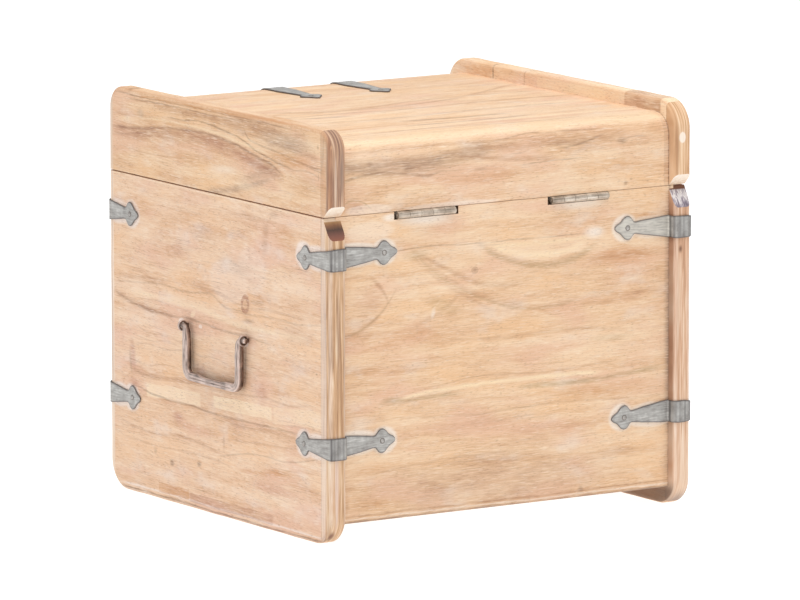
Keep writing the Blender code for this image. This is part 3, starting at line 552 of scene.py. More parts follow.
lidSideMarks = {
    "lines": {
        "umber": ((1.5, 0.75, -175, 380.4, -60, 380, 40, 380.6, 120, 380.2), (2.4, 0.75, -182, 347, -153, 349,
            -124, 351, -95, 355, -72, 356, -50, 358, -27, 359, -5, 358, 18, 356, 37, 354, 57, 350, 76, 346,
            95, 343, 106, 339), (1.4, 0.4, -182, 340, -153, 344, -124, 348, -95, 352, -81, 354), (1.6, 0.65,
            -84, 365, -55, 366, -33, 368, -10, 367, 7, 365, 26, 363, 40, 361, 54, 357, 68, 353, 87, 349,
            109, 346, 130, 344), (1.7, 0.65, 46, 373, 54, 363, 73, 359, 101, 356, 126, 354, 145, 351,
            180, 348), (1.4, 0.5, 128, 352, 156, 349, 183, 345), (1.5, 0.5, 131, 342, 156, 344, 180, 340),
            (1.3, 0.6, -150, 377, -109, 377, -61, 377, -10, 376, 35, 378, 80, 379)),
        "cream": ((1.4, 0.6, -175, 382.8, 0, 382.8, 180, 382.6), (1.6, 0.55, -120, 361, -60, 362, 0, 361,
            40, 357, 90, 352), (3, 0.4, -170, 356, -120, 361, -90, 362)),
        "brown": ((2.2, 0.6, -150, 376.4, -20, 376, 90, 375.4, 150, 376.2), (4, 0.65, 40, 366, 73, 366,
            110, 364, 150, 360, 178, 356), (6, 0.95, -60, 374, -20, 374, 35, 375, 80, 375, 118, 375),
            (1.6, 0.4, -170, 330, -120, 328, -60, 331)),
        "russet": ((9, 0.85, -182, 343, -153, 344, -124, 347, -95, 350, -72, 351, -50, 353, -27, 354, -5, 352,
            18, 350, 37, 347, 57, 344, 76, 340, 95, 337, 106, 334),),
        "amber": ((2.6, 0.8, -139, 381, -109, 381, -86, 380, -61, 381, -33, 380, 1, 381, 35, 382, 68, 383,
            90, 384, 114, 385),),
        "smoke": ((6, 0.6, -11, 305, 17, 309, 45, 316, 73, 324, 92, 329), (4, 0.45, 60, 321, 80, 326,
            100, 333)),
    },
    "spots": {
        "umber": ((-158, 384, 6, 3.4, 0, 0.75), (176, 341, 1.6, 5, 0, 0.7), (175, 368, 2.8, 3.4, 0, 0.6)),
        "smoke": ((-137, 364, 9, 6, 0, 0.7), (120, 366, 64, 13, 0, 0.65), (70, 330, 50, 9, 16, 0.4)),
        "brown": ((50, 374, 105, 11, 0, 0.95), (-60, 373, 70, 7, 0, 0.75), (150, 331, 36, 14, 0, 0.4),
            (110, 374, 50, 8, 0, 0.5)),
        "amber": ((130, 352, 52, 10, 0, 0.7), (-40, 330, 70, 9, 0, 0.4)),
        "russet": ((78, 341, 44, 8, -12, 0.75), (-20, 352, 34, 9, 0, 0.5)),
        "chalk": ((10, 328, 40, 6, 6, 0.35),),
    },
}
backMarks = {
    "lines": {
        "umber": ((1.2, 0.42, 120, 268, 102, 269, 77, 269, 46, 268, 24, 267, -16, 267, -56, 267, -80, 267),
            # the last umber line, along the bottom edge, is a painted shadow
            (2.6, 1, -184, 18.8, 0, 18.9, 184, 18.8)),
        "brown": ((5, 0.42, 98, 262, 84, 250, 54, 231, 21, 215, -12, 205, -50, 203, -74, 206), (4.6, 0.5,
            96, 262, 72, 249, 54, 240, 35, 232, 16, 227, -16, 226), (4, 0.35, 94, 252, 76, 238, 50, 222,
            20, 206), (4.2, 0.55, 130, 220, 136, 213, 153, 201, 176, 193), (5, 0.6, 130, 222, 137, 233,
            146, 242), (4, 0.4, 95, 198, 75, 206, 60, 214, 54, 220), (1.6, 0.4, 78, 138, 49, 141, 16, 143,
            -10, 142, -23, 141, -69, 141, -120, 144), (1.7, 0.8, -184, 24.6, 0, 24.4, 184, 24.8), (2, 0.4,
            68, 63, -3, 61, -50, 52), (2, 0.4, 150, 62, 110, 66, 60, 68, 0, 70), (3.4, 0.4, 60, 180, 10, 176,
            -60, 178, -120, 174), (2, 0.35, 120, 112, 40, 108, -60, 110, -150, 106)),
        "olive": ((2.6, 0.32, 98, 260, 84, 247, 54, 228, 21, 213, -12, 203, -50, 202, -74, 205), (5.4, 0.55,
            24, 262, 19, 259, 7, 253, -17, 245, -40, 241, -64, 242, -82, 247, -93, 252), (1.8, 0.35, 130, 220,
            136, 213, 153, 201, 176, 193), (4, 0.65, -22, 128, -69, 128, -129, 130, -169, 133), (4, 0.6,
            133, 127, 110, 128, 84, 129, 60, 129)),
        "cream": ((6, 0.85, 14, 263, 0, 258, -20, 253, -40, 251, -64, 252, -85, 259), (4.6, 0.7, 16, 263,
            -30, 262, -90, 263), (1.8, 0.35, 92, 204, 82, 209, 76, 214), (3.6, 0.95, 110, 131, 96, 133,
            40, 135, -15, 136, -69, 136, -98, 135)),
        "amber": ((3, 0.45, 164, 176, 141, 181, 114, 186, 91, 191),),
        # a painted shadow along the bottom edge
        "smoke": ((2, 0.8, -184, 18.6, 0, 18.7, 184, 18.6),),
        "chalk": ((1.3, 0.45, -184, 21.9, 0, 21.8, 184, 22),),
    },
    "spots": {
        "umber": ((35, 243, 4.6, 4.4, 0, 0.6), (-83, 25, 5, 4.2, 0, 0.8), (-169, 18, 14, 4, 20, 0.55),
            # the last umber spot is a dark line of painted shade in the corner by the far side board
            (-10, 18, 6, 2, 0, 0.6), (-182.6, 160, 2.2, 500, 0, 0.9)),
        "amber": ((-128, 244, 60, 14, 0, 0.7), (-100, 118, 84, 12, 0, 0.65), (100, 184, 84, 12, 6, 0.35),
            (150, 66, 26, 7, 0, 0.6), (140, 34, 40, 8, 0, 0.55), (-150, 279, 26, 3.4, 2, 0.9)),
        "brown": ((-128, 243, 50, 5, 0, 0.7), (-129, 57, 38, 7, 0, 0.45), (176, 34, 4, 14, 0, 0.5)),
        "olive": ((125, 129, 18, 5.4, 0, 0.8), (70, 212, 28, 10, 20, 0.45), (100, 262, 18, 9, 0, 0.45),
            (-118, 166, 34, 5, 0, 0.35)),
        "chalk": ((81, 206, 3.4, 7, 20, 0.5), (89, 295, 44, 10, 0, 0.8), (-81, 295, 42, 8, 0, 0.6),
            (128, 299, 12, 5, 0, 0.8), (-98, 267, 17, 9, 0, 0.75)),
        "rose": ((150, 222, 28, 22, 0, 0.45), (93, 50, 11, 6, 0, 0.6), (40, 100, 64, 14, 0, 0.3),
            (-40, 84, 66, 16, 0, 0.3), (30, 44, 44, 12, 0, 0.3), (0, 40, 180, 26, 0, 0.3)),
        # painted shade in the corner by the far side board
        "smoke": ((-183, 160, 8, 220, 0, 1), (-184, 40, 12, 40, 0, 0.5)),
        "dusk": ((30, 46, 220, 44, 0, 0.36),),
    },
    "rings": {
        "umber": ((-102, 267, 4.4, 3.6, 0, 0.35), (35, 243, 4, 3.6, 0, 0.35)),
    },
    "halos": {
        "chalk": ((135, 268, 16.5, 15, 0, 0.75), (168, 268, 36, 13.6, 0, 0.75), (135, 93, 16.5, 15, 0, 0.75),
            (168, 93, 36, 13.6, 0, 0.7), (-132, 268, 16.5, 15, 0, 0.7), (-165, 267, 36, 12.6, 0, 0.4),
            (-129, 89, 16.5, 15, 0, 0.7), (-163, 89, 36, 13.6, 0, 0.65), (150, 288, 30, 10, 0, 0.25)),
    },
    "staves": {
        "chalk": ((181.5, 150, 1, 140, 0, 0.4),),
    },
}
lidBackMarks = {
    "lines": {
        "dusk": ((11, 0.95, 180, 350, 148, 347, 117, 347, 86, 347, 55, 351, 24, 354),),
        "brown": ((8, 0.6, 50, 352, 24, 355, -7, 356, -40, 357, -80, 357, -130, 356), (4, 0.6, 61, 350,
            18, 346, -22, 342, -49, 341), (2.2, 0.55, 171, 307, 163, 312, 157, 307), (3, 0.5, 178, 361,
            90, 362, 0, 361, -90, 362)),
        "umber": ((2.2, 0.5, 177, 336, 163, 339, 145, 341, 129, 341, 117, 339, 102, 337, 89, 335, 77, 337),
            (1.6, 0.6, -63, 349, -79, 351, -92, 354, -104, 357), (1.8, 0.55, -129, 351, -140, 353, -151, 353),
            (1.3, 0.45, -20, 337, -47, 338, -79, 338), (1.3, 0.45, 7, 361, -14, 364, -32, 365, -43, 364,
            -75, 364, -103, 363)),
        "olive": ((1.8, 0.55, 178, 314, 168, 318, 158, 316, 150, 310),),
        # a painted highlight along the round-over
        "cream": ((5, 0.75, 178, 369, 90, 369, 0, 369, -90, 369, -178, 369),),
    },
    "spots": {
        # the first umber spot is painted shade in the corner against the far lid side
        "umber": ((-182.8, 335, 2.6, 90, 0, 0.6), (108, 343, 9, 5, 0, 0.5), (-129, 351, 9, 4.4, 0, 0.8),
            (30, 337, 11, 2.6, 0, 0.5), (-133, 310, 3.4, 2.8, 0, 0.6), (75, 349, 5, 3, 0, 0.5),
            (150, 350, 6, 3, 0, 0.45)),
        "dusk": ((130, 342, 62, 9, 0, 0.6), (-70, 353, 34, 5, 0, 0.65)),
        "amber": ((30, 330, 64, 9, 0, 0.35), (-120, 330, 64, 11, 0, 0.3)),
        "rose": ((166, 311, 15, 10, 0, 0.55),),
        "brown": ((100, 340, 74, 11, 0, 0.35),),
    },
    "halos": {
        "chalk": ((150, 308, 30, 6, 0, 0.4), (60, 306, 60, 3, 0, 0.4)),
    },
    # painted shade in the corner against the far lid side
    "staves": {
        "umber": ((-181.6, 338, 0.9, 36, 0, 0.8),),
        "dusk": ((-179, 338, 3, 36, 0, 0.35),),
    },
}
lidTopMarks = {
    "lines": {
        "umber": ((5, 0.6, 125, 25, 106, 30, 81, 34), (6, 0.65, 47, 90, 3, 95, -51, 97), (4, 0.4, 120, 60,
            40, 66, -60, 60, -150, 66), (4.5, 0.55, 60, 118, 0, 121, -70, 117)),
        "brown": ((3.4, 0.5, 158, 146, 90, 143, 35, 143, -36, 154, -94, 151), (3.4, 0.35, -1, 72, -94, 67,
            -165, 97), (5, 0.6, 178, 20, 100, 14, 0, 22, -90, 16, -178, 26), (5, 0.55, 178, -20, 80, -14,
            -60, -24, -178, -16), (6, 0.55, 178, -70, 60, -64, -178, -72)),
        "cream": ((5, 0.6, 150, 130, 60, 126, -60, 132, -150, 126), (5, 0.75, 178, 128, 60, 134, -60, 128,
            -178, 136), (5, 0.5, 170, 160, 0, 158, -170, 160)),
        "amber": ((5, 0.6, 170, 112, 80, 108, -20, 112),),
    },
}
sideLeftMarks = {
    "spots": {
        # painted shade near the corner by the back panel
        "smoke": ((192, 150, 6, 150, 0, 0.4),),
    },
}
lidSideLeftMarks = {
    "staves": {
        "brown": ((140, 380, 31, 9, -2, 0.9),),
        "umber": ((-114, 376, 1.4, 9, 0, 0.7), (-60, 379, 1, 9, 0, 0.4)),
        "amber": ((-150, 376, 36, 9, 0, 0.3),),
        "cream": ((20, 377, 60, 5, -1, 0.4),),
    },
}

# The strips on the ends of the side boards: stripes 2.4 mm wide, the share that they keep on the outer face,
# the colour and strength of the rubbed arris, and the darkness at heights in millimetres
stripLooks = {"rear": 0.1795, "front": -0.1868, "stripe": 0.0024, "arrisWidth": 0.004, "face": 0.75,
              "ramp": ((0.0, "#F6E8D0"), (0.3, "#E8CCA8"), (0.5, "#D4AC83"), (0.72, "#B08762"),
                       (1.0, "#79563D"))}
nearStrips = {
    **stripLooks, "arris": ("#FAEBD8", 0.45),
    "dark": ((0, 0.50), (80, 0.42), (112, 0.62), (180, 0.60), (250, 0.54), (300, 0.50)),
    "drawn": {
        # the first two umber spots are a painted shadow at the foot
        "spots": {"umber": ((5, 9, 6, 7, 0, 0.95), (-3, 5, 6, 4, 0, 0.7), (17.5, 150, 3, 160, 0, 0.6),
                            (-4, 214, 3, 5, 0, 0.6)),
                  "rose": ((7, 55, 5, 62, 0, 0.5),), "smoke": ((9, 200, 3, 70, 0, 0.4),)},
        "halos": {"chalk": ((-8, 150, 6.5, 190, 0, 0.45), (7, 60, 2, 50, 0, 0.35))},
    },
}
nearLidStrips = {
    **stripLooks, "arris": ("#BF8760", 0.62), "dark": ((300, 0.48), (330, 0.58), (400, 0.60)), "face": 0.4,
    "ramp": ((0.0, "#EEDAC8"), (0.3, "#DCBDA2"), (0.5, "#C29C80"), (0.72, "#967462"), (1.0, "#665044")),
    "drawn": {
        "spots": {"smoke": ((14, 345, 4, 34, 0, 0.6),)},
        "halos": {"chalk": ((6.5, 335, 1.4, 30, 0, 0.22),), "amber": ((-7, 330, 5.5, 26, 0, 0.6),)},
    },
}
farStrips = {
    **stripLooks, "arris": ("#F3DCC8", 0.4), "dark": ((0, 0.34), (200, 0.44), (300, 0.56)),
    "ramp": ((0.0, "#F5E2CC"), (0.3, "#E8CAAC"), (0.5, "#D8AD8B"), (0.72, "#B5886A"), (1.0, "#7C563F")),
    "drawn": {
        # the umber line 18.3 mm in is painted shade in the corner by the back panel; the umber spot at -3 mm
        # and the smoke spot are a painted shadow at the foot
        "spots": {"umber": ((12, 245, 3, 5, 0, 0.9), (18.3, 160, 1.3, 260, 0, 0.62), (12, -3, 16, 10, 0, 0.8)),
                  "brown": ((15, 160, 4, 160, 0, 0.35),), "rose": ((3, 190, 3, 90, 0, 0.3),),
                  "smoke": ((8, 2, 16, 18, 0, 0.9),)},
    },
}
farLidStrips = {
    **stripLooks, "arris": ("#C99468", 0.5), "dark": ((300, 0.34), (330, 0.38), (400, 0.36)),
    "ramp": ((0.0, "#EAD2B4"), (0.3, "#DCB590"), (0.5, "#C99C75"), (0.72, "#A87C5A"), (1.0, "#79563D")),
    "drawn": {"spots": {"umber": ((16, 340, 3, 44, 0, 0.6),)},
              "halos": {"chalk": ((10, 350, 4.2, 6, 0, 0.6),)}},
}

sideWood = boardWood("bleachedAcaciaBodySide", 1, 2, bodySideMarks, 1, nearStrips, -0.02, (1.0, 1.0, 1.06),
                     halfWidth)
sideWoodLeft = boardWood("bleachedAcaciaBodySideLeft", 1, 2, sideLeftMarks, 8, farStrips, 0.03,
                         (1.0, 1.0, 1.04))
lidSideWood = boardWood("bleachedAcaciaLidSide", 1, 2, lidSideMarks, 2, nearLidStrips, 0.03)
# the far lid side is multiplied lighter all over: painted light on its shaded inner face
lidSideWoodLeft = boardWood("bleachedAcaciaLidSideLeft", 1, 2, lidSideLeftMarks, 7, farLidStrips, -0.06,
                            (1.13, 1.19, 1.24))
backWood = boardWood("bleachedAcaciaBack", 0, 2, backMarks, 3, outer=wallFace)
lidBackWood = boardWood("bleachedAcaciaLidRail", 0, 2, lidBackMarks, 4)
lidTopWood = boardWood("bleachedAcaciaLidTop", 0, 1, lidTopMarks, 4, shade=-0.05)
frontWood = boardWood("bleachedAcaciaFront", 0, 2, seed=5)
floorWood = boardWood("bleachedAcaciaBottom", 0, 1, seed=6)
# The hinge seats: acacia painted dark brown as painted shade in the recesses round the hinges
seatShadeWood, _, seatShadeShader = newMaterial("hingeSeatShadeAcacia", Roughness=0.85, Specular_IOR_Level=0.15)
seatShadeShader.inputs["Base Color"].default_value = tint("#6E5543")
endGrainDark = endGrain(
    "sawnEndGrainDark", 0.2836, 0.3036,
    ((0.0, "#93604E"), (0.25, "#7E574C"), (0.50, "#5C4840"), (0.68, "#8E6850"), (0.84, "#B88F66"),
     (1.0, "#B88F66")), (0.0035, 0.01, 0.02), 0.16, (0.3006, "#EBD3B8"))
# the cap of the far cut, above 0.3 m, is painted dark brown: painted shade of the gap under the lid
endGrainGrey = endGrain(
    "sawnEndGrainGrey", 0.2736, 0.3136,
    ((0.0, "#9A878A"), (0.30, "#7E7480"), (0.42, "#BEB3B8"), (0.50, "#EFE8E4"), (0.58, "#DED5D2"),
     (0.68, "#958A94"), (1.0, "#E8CFBA")), (0.0017, 0.006, 0.012), 0.95, (0.3000, "#7A5544"))
endGrainPale = endGrain(
    "sawnEndGrainPale", 0.300, 0.320, ((0.20, "#E2C6AC"), (0.50, "#F0DFCC"), (0.8, "#F4E8DA")),
    (0.004, 0.010, 0.003), 0.9)
print("chest: the wood is ready")


# A metal with a mottled colour from dark to light, streaks along its own length, and marks for what happened
# to it, some of which also hold painted highlight and painted shade. A pattern has its sizes along X, Y and Z
# in metres, and a mark its colour and its weakest and strongest share. The streaks follow a piece's own sheet
# attribute (along, across, 0), or X where there is none, and turn across where the sheet is bent.
def workedMetal(name, looks):
    material, tree, shader = newMaterial(name, Metallic=looks["metallic"])
    place = addNode(tree, "TexCoord", out=3)
    own = addNode(tree, "Attribute", out=1, attribute_name="sheet") if looks["sheet"] else place
    noises = {}
    for key, source, detail in (("streak", own, 3.0), ("cross", own, 3.0), ("patch", place, 4.0),
                                ("dent", place, 3.0)):
        if key in looks:
            sized = addNode(tree, "Mapping", {0: source, 3: [1 / size for size in looks[key]]})
            noises[key] = addNode(tree, "TexNoise", {
                "Vector": sized, "Scale": 1.0, "Detail": detail, "Roughness": 0.6})
    streaks = noises["streak"]
    if "cross" in noises:
        bent = addNode(tree, "Attribute", out=2, attribute_name="bend")
        bent = addNode(tree, "Math", (bent, 3.0), operation="MULTIPLY", use_clamp=True)
        streaks = addNode(tree, "Mix", {0: bent, 2: streaks, 3: noises["cross"]})
    tone = addNode(tree, "Math", (streaks, noises["patch"]), operation="ADD")
    tone = addNode(tree, "MapRange", (tone, 0.72, 1.28))
    colour = addNode(tree, "ValToRGB", (tone,), stops=looks["colours"])
    for mark, hexColour, weakest, strongest in looks.get("marks", ()):
        share = addNode(tree, "Attribute", out=2, attribute_name=mark)
        uneven = addNode(tree, "MapRange", (streaks, 0.36, 0.6, weakest, strongest))
        colour = coat(tree, colour, hexColour, share, uneven)
    tree.links.new(colour, shader.inputs["Base Color"])
    rough = addNode(tree, "MapRange", (noises["patch"], 0.3, 0.7, *looks["roughness"]))
    tree.links.new(rough, shader.inputs["Roughness"])
    relief = addNode(tree, "Bump", {"Strength": 0.6, "Distance": looks["depth"], "Height": noises["dent"]})
    tree.links.new(relief, shader.inputs["Normal"])
    return material


# Sheet iron, hot-dip zinc coated and weathered: a smooth dull grey with faint brushing, near-black at the cut
# edges where the coat is thin and as painted shade along the half-round edges, purple-grey at the bends and
# no clear reflections. The brushing is finer than 1.4 mm and is drawn that coarse, so that it shows.
zinc = workedMetal("zincCoatedStrap", {
    "metallic": 0.35, "roughness": (0.42, 0.58), "depth": 0.0002, "sheet": True,
    "streak": (0.014, 0.0014, 1.0), "cross": (0.0042, 0.04, 1.0), "patch": (0.009, 0.009, 0.009),
    "dent": (0.004, 0.004, 0.004),
    "colours": ((0.0, "#8D8985"), (0.35, "#A5A29E"), (0.65, "#B6B4B0"), (1.0, "#CCCAC6")),
    "marks": (("bloom", "#DAD3C6", 0.4, 0.85), ("bend", "#3E373A", 0.45, 1.0),
              ("edge", "#574E4C", 0.6, 0.85))})
# Mild steel with a nickel plating gone dull: warm grey,
# with lengthwise light and dark streaks from the rolling
steel = workedMetal("dullPlatedSteel", {
    "metallic": 0.5, "roughness": (0.34, 0.5), "depth": 0.00008, "sheet": False,
    "streak": (0.030, 0.0009, 0.0009), "patch": (0.012, 0.012, 0.012), "dent": (0.003, 0.003, 0.003),
    "colours": ((0.0, "#74675A"), (0.3, "#A39484"), (0.6, "#C2B3A3"), (1.0, "#EADFD0"))})
# Forged iron, scaled and oiled: brown-black, with pale pinkish-grey where the scale has rubbed off and as
# painted highlights on the faces turned to the light
iron = workedMetal("oiledForgedIron", {
    "metallic": 0.45, "roughness": (0.30, 0.48), "depth": 0.0002, "sheet": True,
    "streak": (0.016, 0.0016, 1.0), "patch": (0.005, 0.005, 0.005), "dent": (0.003, 0.003, 0.003),
    "colours": ((0.0, "#2E2420"), (0.35, "#4E3C33"), (0.65, "#735B4E"), (1.0, "#A08474")),
    "marks": (("wearAndHighlight", "#E2CDC3", 0.30, 1.0),)})
# Hand-forged nail heads in the straps: the same zinc, rubbed
# bright on the crown, with grime in the dimple round it
nailZinc = workedMetal("zincCoatedNail", {
    "metallic": 0.4, "roughness": (0.36, 0.5), "depth": 0.0001, "sheet": False,
    "streak": (0.002, 0.002, 0.002), "patch": (0.004, 0.004, 0.004), "dent": (0.002, 0.002, 0.002),
    "colours": ((0.0, "#948F8A"), (0.5, "#A9A5A0"), (1.0, "#C2BEB9")),
    "marks": (("edge", "#6A605A", 0.64, 0.8),)})
print("chest: the metals are ready")

# Side boards stand in the YZ plane. Through the thickness their outline is inset by
# ease * (1 - sin a) at a depth of ease * (1 - cos a), with a from 0 to 90 degrees
# on either face, and a ring inside each face keeps the face's shading flat. The
# outline wanders inwards by a fraction of a millimetre, as a hand-sanded edge does.
sideBoard = {"ease": 0.004, "easeSteps": 7, "rim": 0.0012, "wave": 0.0004, "waveStep": 0.012,
             "footRadius": 0.028, "lidRadiusRight": 0.020, "lidRadiusLeft": 0.028, "cutBack": 0.012,
             "cutDown": 0.020, "lidCut": 0.011, "seamEase": 0.0004}


def sideBoardPiece(name, corners, side, materials, body, seed, cut):
    points, numbers = outline(corners)
    eases = np.array([corner[3] for corner in corners])[numbers]
    travelled = np.concatenate([[0.0], np.cumsum(np.linalg.norm(np.diff(points, axis=0), axis=1))])
    waves = 0.5 + 0.5 * wander(travelled, sideBoard["waveStep"], seed)
    waves *= (eases > 0.003) * np.clip(np.minimum(travelled, travelled[-1] - travelled) / 0.02, 0, 1)
    inward = inset(points, np.full(len(points), sideBoard["wave"])) - points
    points = points + inward * waves[:, None]
    angles = np.linspace(0, math.pi / 2, sideBoard["easeSteps"] + 1)
    shares = np.concatenate([[1.0], 1 - np.sin(angles)])
    depths = np.concatenate([[0.0], sideBoard["ease"] * (1 - np.cos(angles))])
    rims = np.where(np.arange(len(shares)) == 0, sideBoard["rim"], 0.0)
    skin = []
    for face, inward, order in ((halfWidth, -side, 1), (innerFace, side, -1)):
        stack = [np.column_stack([np.full(len(points), side * face + inward * depth),
                                  inset(points, eases * share + rim)])
                 for share, depth, rim in zip(shares, depths, rims)]
        skin += stack[::order]
    skin = np.array(skin)
    # the arris mark is 1 in the middle of each eased edge, where hands have rubbed it pale
    worn = np.concatenate([[0.0], np.sin(2 * angles)])
    arris = np.tile(np.concatenate([worn, worn[::-1]])[:, None], (1, len(points)))
    return addPiece(name, skin, ringFaces(*skin.shape[:2]), materials, body, "wood", [name], cut=cut,
                    marks={"arris": arris})


def bodySideCorners():
    size = sideBoard
    return [(-halfDepth, 0.0, size["footRadius"], size["ease"]),
            (halfDepth, 0.0, size["footRadius"], size["ease"]),
            (halfDepth, bodyTop, 0.0, size["seamEase"]), (-halfDepth, bodyTop, 0.0, size["ease"])]


def lidSideCorners(radius):
    size = sideBoard
    return [(-halfDepth, lidBottom, 0.0, size["seamEase"]), (halfDepth, lidBottom, 0.0, size["ease"]),
            (halfDepth, chestTop, radius, size["ease"]), (-halfDepth, chestTop, radius, size["ease"])]


# the rear corners are sawn off at the seam, so that the lid's sides swing past the body's
bodyCut = ((0.0, halfDepth, bodyTop - sideBoard["cutDown"]), (0.0, sideBoard["cutDown"], sideBoard["cutBack"]))
lidCut = ((0.0, halfDepth, lidBottom + sideBoard["lidCut"]), (0.0, 1.0, -1.0))
for name, corners, side, woods, body, seed, cut in (
        ("side_panel_right", bodySideCorners(), 1, (sideWood, endGrainDark), "case", 11, bodyCut),
        ("side_panel_left", bodySideCorners(), -1, (sideWoodLeft, endGrainGrey), "case", 12, bodyCut),
        ("lid_side_right", lidSideCorners(sideBoard["lidRadiusRight"]), 1, (lidSideWood, endGrainPale),
         "lid", 13, lidCut),
        ("lid_side_left", lidSideCorners(sideBoard["lidRadiusLeft"]), -1, (lidSideWoodLeft, endGrainPale),
         "lid", 14, lidCut)):
    sideBoardPiece(name, corners, side, woods, body, seed, cut)
print("chest: the side boards are made")

# The long boards are a profile (y, z) carried along X. The back wall's profile
# moves, over each hinge, to one with the two-stepped seat for the leaves and
# the barrel; two stations a hair apart make the seat's upright ends.
longBoard = {"wall": 0.016, "rail": 0.022, "lidTop": 0.016, "rise": 0.0004, "ease": 0.0003, "footEase": 0.003,
             "roundOver": 0.020, "tongue": 0.006, "groove": 0.005, "stations": 41}
hinge = {"length": 0.0635, "offset": 0.085, "shift": 0.004, "sheet": 0.0014, "leaf": 0.0145, "barrel": 0.0034,
         "pin": 0.0013, "knuckles": 5, "axisOut": 0.0005, "clear": 0.0006, "gap": 0.0003, "pinProud": 0.0005,
         "seatEnds": ((0.0008, 0.0036), (0.0040, 0.0028)), "leafCorner": 0.0015, "ease": 0.0002,
         "knuckleEase": 0.0003, "knuckleGap": 0.00012}
hair = 1e-5    # between two points of a profile that a seat moves apart
hingeY = wallFace + hinge["axisOut"]
hingeZ = lidBottom - hinge["gap"] - hinge["barrel"]
# the seat's floor under the barrel, its shelf under the leaves, and the shelf's front and back
seatFloor = hingeZ - hinge["barrel"] - hinge["clear"]
seatShelf = lidBottom - 3 * hinge["gap"] - 2 * hinge["sheet"]
seatFront = hingeY - hinge["barrel"] - hinge["clear"]
seatBack = hingeY - hinge["leaf"] - hinge["gap"]


def longBoardPiece(name, corners, material, body, facing=1, seats=(), arcSteps=24):
    points, _ = outline(corners, 0.006, arcSteps)
    stations = np.linspace(-boardHalf, boardHalf, longBoard["stations"])
    seated = points.copy()
    cuts = np.zeros(len(stations))
    if seats:
        ends = np.array([[start, start + 2 * hair, end - 2 * hair, end] for start, end in seats])
        beside = ((stations[:, None] < ends[:, 0]) | (stations[:, None] > ends[:, 3])).all(1)
        stations = np.sort(np.concatenate([stations[beside], ends.ravel()]))
        cuts = ((stations[:, None] > ends[:, 0]) & (stations[:, None] < ends[:, 3])).any(1).astype(float)
        # the seat's own corners, each taken by the profile points that lie over it
        y, z = points.T
        over = (z > seatFloor) & (y > seatBack - 1e-9)
        upper = over & (z > seatShelf)
        seated[over & (z <= seatShelf)] = (seatFront, seatFloor)
        seated[upper & (y > seatFront)] = (seatFront, seatShelf)
        seated[upper & (y <= seatFront)] = (seatBack, seatShelf)
    skin = np.stack([np.column_stack([np.full(len(points), x), points + (seated - points) * cut])
                     for x, cut in zip(stations, cuts)])
    skin[..., 1] *= facing
    piece = addPiece(name, skin, ringFaces(*skin.shape[:2]), material, body, "wood", [name], 30)
    if seats:
        # the faces inside the seats get the darker seat wood: painted shade
        middles = np.empty(3 * len(piece.data.polygons), np.float32)
        piece.data.polygons.foreach_get("center", middles)
        x, y, z = middles.reshape(-1, 3).T
        along = ((x[:, None] > ends[:, 0]) & (x[:, None] < ends[:, 3])).any(1)
        inside = along & (y < wallFace - 1e-4) & (z > seatFloor - 1e-4) & (z < bodyTop - 2e-4)
        piece.data.polygons.foreach_set("material_index", inside.astype(np.int32))
    return piece


def wallCorners():
    size = longBoard
    inner, top = wallFace - size["wall"], bodyTop + size["rise"]
    corners = [(inner, wallFoot, size["ease"], 0), (wallFace, wallFoot, size["footEase"], 0)]
    corners += [(wallFace, z, 0.0, 0) for level in (seatFloor, seatShelf) for z in (level, level + hair)]
    corners.append((wallFace, top, size["ease"], 0))
    corners += [(y, top, 0.0, 0) for place in (seatFront, seatBack) for y in (place, place - hair)]
    return corners + [(inner, top, size["ease"], 0)]


def railCorners():
    size = longBoard
    inner, middle, reach = wallFace - size["rail"], lidTop - size["lidTop"] / 2, size["tongue"] / 2
    deep = inner + size["groove"]
    return [(inner, lidBottom, size["ease"], 0), (wallFace, lidBottom, size["ease"], 0),
            (wallFace, lidTop, size["roundOver"], 0), (inner, lidTop, 0.0, 0), (inner, middle + reach, 0.0, 0),
            (deep, middle + reach, 0.0, 0), (deep, middle - reach, 0.0, 0), (inner, middle - reach, 0.0, 0)]


def lidTopCorners():
    size = longBoard
    edge, middle, reach = wallFace - size["rail"], lidTop - size["lidTop"] / 2, size["tongue"] / 2
    half = [(edge, lidTop - size["lidTop"]), (edge, middle - reach), (edge + size["groove"], middle - reach),
            (edge + size["groove"], middle + reach), (edge, middle + reach), (edge, lidTop)]
    return [(y, z, 0.0, 0) for y, z in half] + [(-y, z, 0.0, 0) for y, z in half[::-1]]


hingeMiddles = [hinge["shift"] + side * hinge["offset"] for side in (-1, 1)]
hingeSeats = [(middle - hinge["length"] / 2 - low, middle + hinge["length"] / 2 + high)
              for middle, (low, high) in zip(hingeMiddles, hinge["seatEnds"])]
longBoardPiece("back_panel", wallCorners(), (backWood, seatShadeWood), "case", seats=hingeSeats)
longBoardPiece("front_panel", wallCorners(), frontWood, "case", -1)
longBoardPiece("lid_back_rail", railCorners(), lidBackWood, "lid")
longBoardPiece("lid_front_rail", railCorners(), frontWood, "lid", -1)
longBoardPiece("lid_top_panel", lidTopCorners(), lidTopWood, "lid")
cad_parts["bottom_panel"].data.materials[0] = floorWood
print("chest: the long boards are made")

